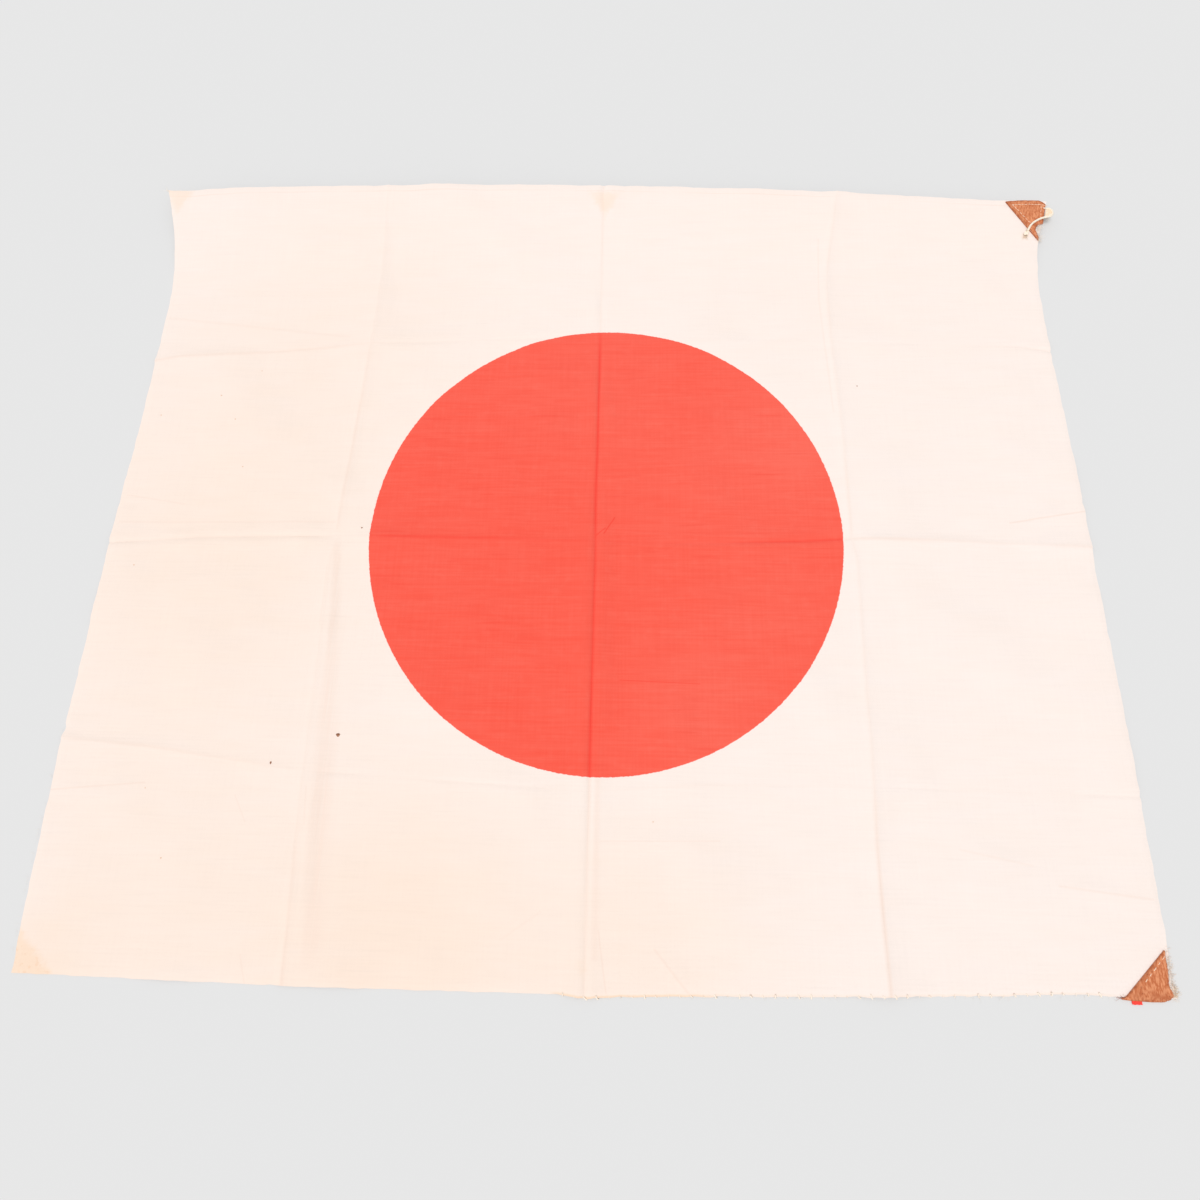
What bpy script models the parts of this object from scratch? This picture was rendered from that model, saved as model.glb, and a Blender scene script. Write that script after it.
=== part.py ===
# A worn cotton flag, opened out and laid flat on a surface, with a leather patch sewn on its two
# right corners and what is left of one tie cord. Metres, +Z up. The origin is on the surface, under
# the middle of the flag. +X runs along the flag, +Y towards its far edge.

import math

import bmesh
import bpy
from mathutils import Matrix, Vector

MM = 0.001

# Sheet, leather and cord
CLOTH_THICKNESS = 1.0 * MM
LEATHER_THICKNESS = 1.2 * MM
CORD_DIAMETER = 2.1 * MM
CORD_POINT_STEP = 2.0 * CORD_DIAMETER
PIECE_GAP = 0.3 * MM
LEATHER_GAP = 0.35 * MM
KNOT_SIZE = (4.4 * MM, 6.6 * MM, 3.6 * MM)

# The flag was stored folded in four each way, so it counts 4 panels across and 4 up. A place on it
# is (s, t), in panels from the near left corner. Each line below is a fold or an edge, in mm.
PANELS = 4
# Offsets of the grid's lines within a panel, closer together beside the folds
GRID_OFFSETS = (0.0, 0.034, 0.1, 0.3, 0.5, 0.7, 0.9, 0.966)
FOLD_REACH = 0.1
FOLD_SHOULDER = 0.034

# Lines that run away from the viewer: (t, x)
LEFT_EDGE = ((0, -417), (0.25, -419), (1, -420.8), (2, -420), (2.5, -417.5), (3, -416.5), (3.4, -417.1),
             (3.6, -421.2), (3.72, -424.9), (3.82, -429), (3.92, -434.5), (4, -438))
LEFT_FOLD = ((0, -214.6), (0.64, -217.8), (1.5, -219.8), (1.9, -221.6), (2, -218.6), (3, -209.4),
             (3.4, -208.2), (4, -210.3))
CENTRE_FOLD = ((0, 5.1), (1, 7), (2, 7.4), (4, 8.3))
RIGHT_FOLD = ((0, 221.2), (1, 222), (1.9, 226), (2, 222.8), (2.5, 223.3), (3, 220), (3.4, 219.5),
              (3.55, 222.8), (4, 236))
RIGHT_EDGE = ((0, 417), (0.3, 417.4), (1, 418.9), (2, 420.2), (2.5, 419.5), (3, 418.2), (3.4, 419.2),
              (3.6, 422.2), (3.75, 425.6), (4, 438))
AWAY_LINES = (LEFT_EDGE, LEFT_FOLD, CENTRE_FOLD, RIGHT_FOLD, RIGHT_EDGE)

# Lines that run across the view: (s, y)
NEAR_EDGE = ((0, -356.2), (0.3, -357.1), (1, -359.2), (1.9, -360.3), (2, -362.4), (2.2, -360.6),
             (2.5, -358.4), (3, -356.3), (3.4, -353.6), (3.6, -351.6), (4, -352.2))
LOWER_FOLD = ((0, -185.5), (0.35, -190), (0.7, -200.3), (1, -208), (2, -220.5), (2.4, -214), (3, -213),
              (4, -218))
MIDDLE_FOLD = ((0, -20.7), (0.4, -16.4), (1, -12.8), (2, -14.8), (3, -12.5), (3.6, -12.4), (4, -17.2))
UPPER_FOLD = ((0, 165), (0.12, 170.5), (0.4, 173.7), (1, 184.4), (1.5, 188.6), (2, 189.3), (2.4, 185.7),
              (3, 185.4), (3.85, 179.4), (4, 174))
FAR_EDGE = ((0, 360), (0.1, 358.7), (0.2, 360.5), (0.5, 361.8), (1.3, 362.4), (1.8, 360), (2.2, 358),
            (2.5, 355), (3, 349.7), (3.4, 344), (3.75, 339.9), (4, 338))
ACROSS_LINES = (NEAR_EDGE, LOWER_FOLD, MIDDLE_FOLD, UPPER_FOLD, FAR_EDGE)

# Height of each fold along its length, in mm: above 0 a ridge, below 0 a crease lying on the surface
# between two low shoulders. A fold turns over where it crosses one made before it.
AWAY_FOLD_HEIGHTS = {
    1: ((0, 3.6), (0.9, 4.2), (1.9, 3.4), (2, 1.0), (2.1, 2.2), (3, 2.2), (4, 3.0)),
    2: ((0, -2.2), (1, -2.6), (2, -2.0), (3, -1.6), (4, -2.6)),
    3: ((0, 3.4), (1, 2.8), (1.9, 3.0), (2, 1.0), (2.1, 2.4), (3, 2.6), (3.5, 3.6), (4, 2.4)),
}
ACROSS_FOLD_HEIGHTS = {
    1: ((0, 3.4), (0.9, 3.6), (1, 0), (1.1, -1.8), (1.9, -1.6), (2, 0), (2.1, 1.6), (2.9, 1.8), (3, 0),
        (3.1, -2.4), (4, -2.4)),
    2: ((0, -3.0), (0.9, -3.0), (1, 0), (1.1, 1.8), (1.9, 1.6), (2, 0), (2.1, -1.4), (2.9, -1.6), (3, 0),
        (3.1, 4.0), (4, 4.2)),
    3: ((0, 2.8), (0.9, 2.4), (1, 0), (1.1, -1.4), (1.9, -1.4), (2, 0), (2.1, 1.4), (2.9, 1.6), (3, 0),
        (3.1, -1.8), (4, -2.6)),
}

# Panels that stand a little clear of the surface in the middle: (column, row, height in mm)
PANEL_SWELLS = ((0, 1, 1.6), (0, 2, 1.2), (1, 3, 1.0), (2, 0, 1.4), (2, 2, 0.8), (3, 1, 1.2), (3, 3, 0.8))

# The strip along the far edge lifts off the surface: flat to START, curved to STRAIGHT, then a slope
LIFT_START = 242.5 * MM
LIFT_STRAIGHT = 282.5 * MM
LIFT_SLOPE = 0.09

# Short folds away from the main ones: (start, end, half width, height), in mm
SHORT_FOLDS = (
    ((-416, -234), (-343, -226), 8, 2.2),
    ((6, -259), (104, -255), 7, 1.6),
    ((348, 1), (417, 16), 8, 2.0),
    ((349, -281.5), (414, -289), 8, 2.0),
    ((281, -258), (332, -268), 7, 1.6),
    ((52, -327), (84, -360), 7, 1.6),
)
# Puckers that run in from the near edge, each with its peak at the edge
PUCKER_PLACES = (240, 268, 297, 326, 352)
PUCKER_LENGTH = 24
PUCKER_SLANT = 3
PUCKER_HALF_WIDTH = 7
PUCKER_HEIGHT = 1.8

# Leather outlines, in mm, seen from above. The far one has a bite torn out of its outer side.
FAR_PATCH = ((399.2, 336.2), (415.5, 310), (417.9, 306.2), (425.1, 294.6), (426.3, 296.6), (424.4, 299.2),
             (423.4, 303.9), (425.2, 309.6), (429.3, 311.6), (431.8, 312), (435.9, 330.2), (437.2, 333.2),
             (434.8, 336.4), (431, 336.9))
NEAR_PATCH = ((414.5, -321.5), (382.9, -351.3), (379, -353.6), (391.5, -353.9), (400, -354.2),
              (410.6, -353.7), (410.4, -352.1), (413.4, -349.4), (412, -345.2), (412.5, -341.6),
              (413.7, -334), (413.4, -325.4))

# The tie's route, in mm, with its height over the cloth's upper side
TIE_ROUTE = ((436.5, 328.6, 1.0), (439.0, 328.3, 1.1), (441.0, 326.2, 1.4), (441.2, 322.6, 1.8),
             (439.2, 319.4, 2.4), (435.6, 317.9, 2.9), (431.0, 316.8, 3.0), (426.2, 314.8, 3.0),
             (421.6, 311.8, 3.0), (418.4, 308.6, 3.1), (416.5, 305.4, 2.7), (415.7, 303.9, 2.2))

# Colours (linear), roughness
CLOTH_COLOUR = (0.90, 0.79, 0.71, 1)
LEATHER_COLOUR = (0.61, 0.21, 0.09, 1)
CORD_COLOUR = (0.80, 0.64, 0.46, 1)
KNOT_COLOUR = (0.62, 0.42, 0.25, 1)


def clear_scene():
    for thing in list(bpy.data.objects):
        bpy.data.objects.remove(thing, do_unlink=True)


def new_collection(name):
    collection = bpy.data.collections.new(name)
    bpy.context.scene.collection.children.link(collection)
    return collection


def finish(name, colour, roughness):
    """A Principled material."""
    material = bpy.data.materials.new(name)
    material.use_nodes = True
    shader = material.node_tree.nodes["Principled BSDF"]
    shader.inputs["Base Color"].default_value = colour
    shader.inputs["Roughness"].default_value = roughness
    shader.inputs["Metallic"].default_value = 0.0
    return material


def along(line, place):
    """Reads a line of (place, value) pairs at a place, straight between its points."""
    for (start, first), (end, second) in zip(line, line[1:]):
        if place <= end:
            return first + (second - first) * (place - start) / (end - start)
    return line[-1][1]


def between_lines(lines, which, place):
    """The value between two neighbouring lines, both read at the same place."""
    lower = min(int(which), PANELS - 1)
    share = which - lower
    return (1 - share) * along(lines[lower], place) + share * along(lines[lower + 1], place)


def on_plan(s, t):
    """A place on the flag, in panels, to its place on the surface."""
    return between_lines(AWAY_LINES, s, t) * MM, between_lines(ACROSS_LINES, t, s) * MM


def fold_height(offset, strength):
    """Height beside a fold at an offset in panels: a ridge, or a crease between two shoulders."""
    offset = abs(offset)
    if offset >= FOLD_REACH:
        return 0.0
    outer = min(1.0, (FOLD_REACH - offset) / (FOLD_REACH - FOLD_SHOULDER))
    inner = max(0.0, 1 - offset / FOLD_SHOULDER)
    if strength > 0:
        return strength * (0.45 * outer + 0.55 * inner)
    return -strength * (outer - inner)


def lift(y):
    """Height of the strip along the far edge."""
    if y <= LIFT_START:
        return 0.0
    bend = LIFT_STRAIGHT - LIFT_START
    if y <= LIFT_STRAIGHT:
        return LIFT_SLOPE * (y - LIFT_START) ** 2 / (2 * bend)
    return LIFT_SLOPE * (bend / 2 + y - LIFT_STRAIGHT)


def swell(s, t):
    """Height of the panels' low middles, nothing at the folds beside them."""
    total = 0.0
    for column, row, height in PANEL_SWELLS:
        across = max(0.0, 1 - abs(s - column - 0.5) / 0.4)
        up = max(0.0, 1 - abs(t - row - 0.5) / 0.4)
        total += height * across * up
    return total


def underside(s, t, y):
    """Height of the cloth's underside over the surface."""
    height = swell(s, t)
    for fold, strengths in AWAY_FOLD_HEIGHTS.items():
        height += fold_height(s - fold, along(strengths, t))
    for fold, strengths in ACROSS_FOLD_HEIGHTS.items():
        height += fold_height(t - fold, along(strengths, s))
    return height * MM + lift(y)


def grid_lines():
    """The grid's places in panels, from one edge to the other."""
    places = [panel + offset for panel in range(PANELS) for offset in GRID_OFFSETS]
    return places + [PANELS]


def short_folds():
    """Every short fold, with the puckers at the near edge among them."""
    folds = list(SHORT_FOLDS)
    last_fold, last_edge = RIGHT_FOLD[0][1], RIGHT_EDGE[0][1]
    for x in PUCKER_PLACES:
        edge = along(NEAR_EDGE, PANELS - (last_edge - x) / (last_edge - last_fold))
        start = (x - PUCKER_SLANT, edge - PUCKER_LENGTH)
        end = (x + PUCKER_SLANT, edge + PUCKER_LENGTH)
        folds.append((start, end, PUCKER_HALF_WIDTH, PUCKER_HEIGHT))
    return folds


def raise_short_fold(sheet, start, end, half_width, height):
    """Scores the sheet along a short fold, and raises it like a long low tent."""
    start, end = Vector(start) * MM, Vector(end) * MM
    half_width *= MM
    middle = (start + end) / 2
    half_length = (end - start).length / 2
    direction = (end - start).normalized()
    across = Vector((-direction.y, direction.x))

    def offsets(point):
        step = point.xy - middle
        return step.dot(direction), step.dot(across)

    def near(face):
        corners = [offsets(vertex.co) for vertex in face.verts]
        ways = [corner[0] for corner in corners]
        sides = [corner[1] for corner in corners]
        return (min(ways) < half_length and max(ways) > -half_length
                and min(sides) < half_width and max(sides) > -half_width)

    cuts = [(middle + across * side * half_width, across) for side in (-1, 0, 1)]
    cuts += [(middle + direction * way * half_length, direction) for way in (-1, 0, 1)]
    for point, normal in cuts:
        faces = [face for face in sheet.faces if near(face)]
        edges = {edge for face in faces for edge in face.edges}
        corners = {vertex for face in faces for vertex in face.verts}
        bmesh.ops.bisect_plane(sheet, geom=faces + list(edges) + list(corners), dist=1e-6,
                               plane_co=point.to_3d(), plane_no=normal.to_3d())
    for vertex in sheet.verts:
        way, side = offsets(vertex.co)
        share = max(0.0, 1 - abs(way) / half_length) * max(0.0, 1 - abs(side) / half_width)
        vertex.co.z += share * height * MM


def make_cloth(collection):
    """The cloth: a grid on the folds' own lines, raised at the folds, then given its thickness."""
    places = grid_lines()
    cells = len(places) - 1
    sheet = bmesh.new()
    bmesh.ops.create_grid(sheet, x_segments=cells, y_segments=cells, size=cells / 2)
    for vertex in sheet.verts:
        s = places[round(vertex.co.x + cells / 2)]
        t = places[round(vertex.co.y + cells / 2)]
        x, y = on_plan(s, t)
        vertex.co = (x, y, underside(s, t, y))
    for fold in short_folds():
        raise_short_fold(sheet, *fold)
    mesh = bpy.data.meshes.new("flag_cloth")
    sheet.to_mesh(mesh)
    sheet.free()
    mesh.materials.append(finish("cotton", CLOTH_COLOUR, 0.9))
    cloth = bpy.data.objects.new("flag_cloth", mesh)
    collection.objects.link(cloth)
    thickness = cloth.modifiers.new("cloth thickness", "SOLIDIFY")
    thickness.thickness = CLOTH_THICKNESS
    thickness.offset = 1.0
    thickness.use_even_offset = True
    return cloth


def make_patch(collection, name, outline, leather):
    """A leather patch: its flat outline at its thickness, lying on the cloth at the cloth's slope."""
    middle_x = sum(point[0] for point in outline) / len(outline) * MM
    middle_y = sum(point[1] for point in outline) / len(outline) * MM
    curve = bpy.data.curves.new(name, "CURVE")
    curve.dimensions = "2D"
    curve.fill_mode = "BOTH"
    curve.extrude = LEATHER_THICKNESS / 2
    edge = curve.splines.new("POLY")
    edge.points.add(len(outline) - 1)
    for point, (x, y) in zip(edge.points, outline):
        point.co = (x * MM - middle_x, y * MM - middle_y, 0, 1)
    edge.use_cyclic_u = True
    curve.materials.append(leather)
    patch = bpy.data.objects.new(name, curve)
    collection.objects.link(patch)
    slope = math.atan(LIFT_SLOPE) if middle_y > LIFT_STRAIGHT else 0.0
    stand_off = CLOTH_THICKNESS + LEATHER_GAP + LEATHER_THICKNESS / 2
    patch.rotation_euler.x = slope
    patch.location = (middle_x, middle_y - stand_off * math.sin(slope),
                      lift(middle_y) + stand_off * math.cos(slope))
    return patch


def smooth_point(route, place):
    """A point of the smooth curve through the route's points."""
    index = min(int(place), len(route) - 2)
    before, first = route[max(index - 1, 0)], route[index]
    second, after = route[index + 1], route[min(index + 2, len(route) - 1)]
    f = place - index
    return (first + (second - before) * (f / 2)
            + (before * 2 - first * 5 + second * 4 - after) * (f * f / 2)
            + (first * 3 - before - second * 3 + after) * (f * f * f / 2))


def tie_points():
    """The tie's centre line, read from the smooth curve at even steps."""
    route = [Vector((x * MM, y * MM, lift(y * MM) + CLOTH_THICKNESS + height * MM))
             for x, y, height in TIE_ROUTE]
    fine = [smooth_point(route, step / 20) for step in range((len(route) - 1) * 20 + 1)]
    lengths = [0.0]
    for first, second in zip(fine, fine[1:]):
        lengths.append(lengths[-1] + (second - first).length)
    count = round(lengths[-1] / CORD_POINT_STEP)
    points = []
    for step in range(count + 1):
        target = lengths[-1] * step / count
        index = min(range(len(fine)), key=lambda number: abs(lengths[number] - target))
        points.append(fine[index])
    return points


def make_tie(collection):
    """The tie: a round cord from the far patch's outer side, over the leather, down to the cloth."""
    points = tie_points()
    curve = bpy.data.curves.new("tie_cord", "CURVE")
    curve.dimensions = "3D"
    curve.bevel_depth = CORD_DIAMETER / 2
    curve.bevel_resolution = 2
    curve.use_fill_caps = True
    line = curve.splines.new("POLY")
    line.points.add(len(points) - 1)
    for point, place in zip(line.points, points):
        point.co = (*place, 1)
    curve.materials.append(finish("tie_cotton", CORD_COLOUR, 0.9))
    tie = bpy.data.objects.new("tie_cord", curve)
    collection.objects.link(tie)
    return points


def make_knot(collection, tie):
    """The knot on the tie's free end, lying on the cloth."""
    direction = (tie[-1] - tie[-2]).normalized()
    centre = tie[-1] + direction * (KNOT_SIZE[1] / 2 + PIECE_GAP)
    centre.z = lift(centre.y) + CLOTH_THICKNESS + PIECE_GAP + KNOT_SIZE[2] / 2
    ball = bmesh.new()
    size = Matrix.Diagonal((*KNOT_SIZE, 1))
    bmesh.ops.create_uvsphere(ball, u_segments=12, v_segments=8, radius=0.5, matrix=size)
    mesh = bpy.data.meshes.new("tie_knot")
    ball.to_mesh(mesh)
    ball.free()
    mesh.shade_smooth()
    mesh.materials.append(finish("knot_cotton", KNOT_COLOUR, 0.95))
    knot = bpy.data.objects.new("tie_knot", mesh)
    knot.location = centre
    knot.rotation_euler.z = math.atan2(-direction.x, direction.y)
    collection.objects.link(knot)


def build():
    clear_scene()
    collection = new_collection("tattered_flag")
    make_cloth(collection)
    leather = finish("leather", LEATHER_COLOUR, 0.6)
    make_patch(collection, "far_corner_patch", FAR_PATCH, leather)
    make_patch(collection, "near_corner_patch", NEAR_PATCH, leather)
    tie = make_tie(collection)
    make_knot(collection, tie)


build()
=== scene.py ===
# %% [markdown]
# A worn cotton flag, opened out on a pale floor. It is white plain-weave cotton with a red disc dyed
# into it. It was stored folded in four each way, so soft creases cross it, and two brown leather
# corners with what is left of a tie cord sit on its right side. The solids come from the frame, and
# this lesson makes what is seen: the cloth, the leather, the cord, the sewing and the loose threads.

import math

import bmesh
import bpy
import numpy as np
from mathutils import Matrix, Vector
from mathutils.bvhtree import BVHTree


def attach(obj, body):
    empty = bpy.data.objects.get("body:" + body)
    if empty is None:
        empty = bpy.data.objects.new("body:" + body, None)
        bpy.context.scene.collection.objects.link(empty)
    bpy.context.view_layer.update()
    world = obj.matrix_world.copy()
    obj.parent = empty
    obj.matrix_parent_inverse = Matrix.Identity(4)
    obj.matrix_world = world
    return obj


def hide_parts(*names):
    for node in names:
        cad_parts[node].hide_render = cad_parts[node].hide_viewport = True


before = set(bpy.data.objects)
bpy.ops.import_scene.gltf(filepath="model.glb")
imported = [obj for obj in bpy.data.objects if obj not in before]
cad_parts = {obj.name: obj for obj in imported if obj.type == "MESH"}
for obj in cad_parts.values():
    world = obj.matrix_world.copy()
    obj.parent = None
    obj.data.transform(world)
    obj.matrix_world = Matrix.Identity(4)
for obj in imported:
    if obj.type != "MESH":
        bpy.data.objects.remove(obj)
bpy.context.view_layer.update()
MM = 0.001
print("frame holds", sorted(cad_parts))

# %% [markdown]
# The camera stands in front of the flag and looks steeply down on it. Its place and its three turns
# were worked out from the photograph: the disc has to be a true circle, and the cloth's straight edges
# have to stay straight. A lens this short explains why the flag looks so much wider at the near edge.

# %% Camera
CAMERA_PLACE = (27.7 * MM, -218.4 * MM, 526.2 * MM)
CAMERA_PITCH = math.radians(73.94)
CAMERA_YAW = math.radians(6.486)
CAMERA_ROLL = math.radians(-5.680)
SENSOR_WIDTH = 36.0
FOCAL_SHARE = 0.5464


def put(name, data):
    """A new object in the scene."""
    thing = bpy.data.objects.new(name, data)
    bpy.context.scene.collection.objects.link(thing)
    return thing


camera_data = bpy.data.cameras.new("view_camera")
camera_data.sensor_fit = "HORIZONTAL"
camera_data.sensor_width = SENSOR_WIDTH
camera_data.lens = SENSOR_WIDTH * FOCAL_SHARE
camera_data.clip_start = 0.01
camera = put("view_camera", camera_data)
camera.matrix_world = (Matrix.Translation(CAMERA_PLACE)
                       @ Matrix.Rotation(CAMERA_YAW, 4, "Z")
                       @ Matrix.Rotation(math.pi / 2 - CAMERA_PITCH, 4, "X")
                       @ Matrix.Rotation(CAMERA_ROLL, 4, "Z"))
bpy.context.scene.camera = camera
print("camera is", round(CAMERA_PLACE[2], 3), "m above the floor")

# %% [markdown]
# The photograph is bright and nearly shadowless, as a light tent gives. A white world does most of
# that. One broad sun from high on the near left adds the faint light and dark sides of the creases.
# The Standard view transform keeps the colours as they are set.

# %% Light and floor
WORLD_STRENGTH = 0.68
SUN_STRENGTH = 1.52
SUN_ANGLE = math.radians(34)
SUN_TURN = (math.radians(22), 0.0, math.radians(-37))
FLOOR_TONE = 0.711
FLOOR_SIZE = 8.0

scene = bpy.context.scene
scene.view_settings.view_transform = "Standard"
scene.view_settings.look = "None"
world = bpy.data.worlds.new("light_tent")
world.use_nodes = True
glow = world.node_tree.nodes["Background"].inputs
glow["Color"].default_value = (1.0, 1.0, 1.0, 1)
glow["Strength"].default_value = WORLD_STRENGTH
scene.world = world
sun_data = bpy.data.lights.new("broad_sun", "SUN")
sun_data.energy = SUN_STRENGTH
sun_data.angle = SUN_ANGLE
put("broad_sun", sun_data).rotation_euler = SUN_TURN

# %% [markdown]
# Every finish below is a Principled shader fed by a few nodes. The first helper adds a node, sets its
# fields and joins its inputs. A recipe builds on it, so that a finish reads from top to bottom.

# %% Recipes for finishes
class Nodes:
    """Puts nodes into a tree and joins them."""

    def join(self, socket, value):
        if isinstance(value, bpy.types.NodeSocket):
            self.tree.links.new(value, socket)
        else:
            socket.default_value = value

    def add(self, kind, inputs=None, **fields):
        """Adds a node with its fields and inputs, and returns its outputs."""
        node = self.tree.nodes.new(kind)
        for field, value in fields.items():
            setattr(node, field, value)
        for name, value in (inputs or {}).items():
            self.join(node.inputs[name], value)
        return node.outputs

    def maths(self, operation, *values, clamp=False):
        values = dict(enumerate(values))
        return self.add("ShaderNodeMath", values, operation=operation, use_clamp=clamp)["Value"]

    def times(self, first, second):
        return self.maths("MULTIPLY", first, second)

    def scaled(self, vector, scale):
        return self.add("ShaderNodeVectorMath", {0: vector, "Scale": scale}, operation="SCALE")["Vector"]


class Recipe(Nodes):
    """A material that is being put together, node by node."""

    def __init__(self, name, roughness, specular):
        self.material = bpy.data.materials.new(name)
        self.material.use_nodes = True
        self.tree = self.material.node_tree
        self.shader = self.tree.nodes["Principled BSDF"].inputs
        self.shader["Roughness"].default_value = roughness
        self.shader["Specular IOR Level"].default_value = specular

    def swing(self, pattern, amount):
        """A pattern's swing to both sides of its middle value, which is a half."""
        return self.times(self.maths("SUBTRACT", pattern, 0.5), amount)

    def vector(self, operation, first, second):
        outputs = self.add("ShaderNodeVectorMath", {0: first, 1: second}, operation=operation)
        return outputs["Vector" if operation == "SUBTRACT" else "Value"]

    def mix(self, share, first, second):
        inputs = {"Factor": share, "A": first, "B": second}
        return self.add("ShaderNodeMix", inputs, data_type="RGBA")["Result"]

    def tint(self, colour, where, depth, tint):
        """Lets a tint cover a colour, to a depth, where a pattern is 1."""
        return self.mix(self.times(where, depth), colour, tint)

    def fade(self, value, low, high):
        """0 at low and below, 1 at high and above, smooth between them."""
        return self.add("ShaderNodeMapRange", {"Value": value, "From Min": low, "From Max": high},
                        interpolation_type="SMOOTHSTEP")["Result"]

    def noise(self, source, scale, detail):
        return self.add("ShaderNodeTexNoise", {"Vector": source, "Scale": scale, "Detail": detail})["Fac"]

    def streaks(self, source, scale, detail, turn=0.0):
        """Noise that is stretched by a scale of its own in each direction."""
        inputs = {"Vector": source, "Rotation": (0, 0, turn), "Scale": scale}
        return self.noise(self.add("ShaderNodeMapping", inputs)["Vector"], 1.0, detail)

    def note(self, name):
        return self.add("ShaderNodeAttribute", attribute_name=name)["Fac"]

    def bump(self, height, distance, strength, under=None):
        inputs = {"Height": height, "Distance": distance, "Strength": strength}
        if under is not None:
            inputs["Normal"] = under
        return self.add("ShaderNodeBump", inputs)["Normal"]

    def place(self):
        return self.add("ShaderNodeTexCoord")["Object"]

    def finish(self, colour, normal=None):
        self.join(self.shader["Base Color"], colour)
        if normal is not None:
            self.join(self.shader["Normal"], normal)
        return self.material


def mesh_from(name, form):
    """A plain mesh from a bmesh, which is then freed."""
    mesh = bpy.data.meshes.new(name)
    form.to_mesh(mesh)
    form.free()
    return mesh


floor_form = bmesh.new()
bmesh.ops.create_grid(floor_form, x_segments=1, y_segments=1, size=FLOOR_SIZE / 2)
floor_mesh = mesh_from("studio_floor", floor_form)
floor_recipe = Recipe("studio_floor", roughness=1.0, specular=0.0)
floor_mesh.materials.append(floor_recipe.finish((FLOOR_TONE, FLOOR_TONE, FLOOR_TONE, 1)))
put("studio_floor", floor_mesh)

# %% [markdown]
# A place on the cloth is counted in panels, s across and t up, from the near left corner. Each fold and
# edge is a line through a few points. The grid of the cloth runs on these lines, so a crease always has
# its own row of points, and it can be as sharp as it is on the real cloth.

# %% The folds' plan
PANELS = 4
LEFT_EDGE = ((0, -416.1), (0.25, -418.5), (1, -420.4), (2, -419.2), (2.3, -419.1), (2.5, -417.5), (3, -416.3),
             (3.4, -416.8), (3.6, -420.6), (3.72, -424.2), (3.82, -428.3), (3.92, -433.9), (4, -438))
LEFT_FOLD = ((0, -214), (0.4, -216), (0.64, -218.6), (1.5, -220.8), (1.9, -221.6), (2, -219.3), (3, -210.2),
             (3.4, -208.7), (4, -210.9))
CENTRE_FOLD = ((0, 4.5), (0.4, 4.5), (1, 5), (1.3, 5), (1.9, 5.9), (2.2, 5.1), (2.5, 6), (4, 6.8))
RIGHT_FOLD = ((0, 219.6), (0.7, 220), (1, 221.7), (1.9, 226), (2, 222.8), (2.5, 223.6), (3, 221),
              (3.4, 221.2), (3.55, 224.6), (4, 237.2))
RIGHT_EDGE = ((0, 416.6), (0.12, 416.8), (0.3, 417.9), (0.5, 418.6), (1, 419.3), (1.5, 420.5),
              (1.75, 420.1), (2, 420.4), (2.5, 420.7), (2.8, 420), (3, 418.9), (3.4, 419.8), (3.6, 422.4),
              (3.75, 426), (4, 438))
AWAY_LINES = (LEFT_EDGE, LEFT_FOLD, CENTRE_FOLD, RIGHT_FOLD, RIGHT_EDGE)
NEAR_EDGE = ((0, -356.6), (0.3, -357.7), (1, -360.1), (1.5, -360.5), (1.9, -360.5), (2, -362.9), (2.2, -361),
             (2.5, -359.2), (2.7, -358.5), (3, -356.5), (3.4, -354.2), (3.6, -352), (4, -352.2))
LOWER_FOLD = ((0, -187.5), (0.35, -192.8), (0.7, -202), (1, -210), (2, -221.5), (2.4, -215.3), (3, -214.5),
              (4, -218))
MIDDLE_FOLD = ((0, -20.7), (0.4, -14.6), (0.7, -13.2), (1, -12.8), (1.6, -13.3), (2, -15.5), (2.2, -17.2),
               (2.5, -17), (2.8, -14.8), (3, -12.3), (3.4, -13.5), (4, -18.5))
UPPER_FOLD = ((0, 163.5), (0.12, 168.5), (0.4, 171.2), (1, 181.8), (1.5, 186.2), (2, 188.6), (2.4, 184.5),
              (3, 183.2), (3.85, 177.5), (4, 172.5))
FAR_EDGE = ((0, 360.8), (0.1, 359.5), (0.2, 362), (0.5, 363.5), (0.75, 363.9), (1.3, 363.3), (1.6, 363.3),
            (1.8, 362.4), (2, 360.5), (2.3, 359.2), (2.5, 356.3), (2.8, 353.8), (3, 350.8), (3.4, 345.2),
            (3.75, 339.9), (3.88, 338.6), (4, 337.9))
ACROSS_LINES = (NEAR_EDGE, LOWER_FOLD, MIDDLE_FOLD, UPPER_FOLD, FAR_EDGE)


def along(line, places):
    """Reads a line of (place, value) pairs at many places at once."""
    pairs = np.array(line)
    return np.interp(places, pairs[:, 0], pairs[:, 1])


def between_lines(lines, which, places):
    """The value between two neighbouring lines, both read at the same places."""
    lower = np.clip(np.floor(which).astype(int), 0, PANELS - 1)
    share = which - lower
    read = np.stack([along(line, places) for line in lines])
    column = np.arange(len(places))
    return (1 - share) * read[lower, column] + share * read[lower + 1, column]


def on_plan(s, t):
    """Places in panels to places on the floor, in mm."""
    return between_lines(AWAY_LINES, s, t), between_lines(ACROSS_LINES, t, s)


# %% [markdown]
# A fold that was pressed for years stays as a ridge on one side of the cloth and as a valley on the
# other. Here a height above 0 is a ridge. One below 0 is a crease that lies on the floor between two
# low shoulders. A fold made later turns over wherever it crosses one made before it.

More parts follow.
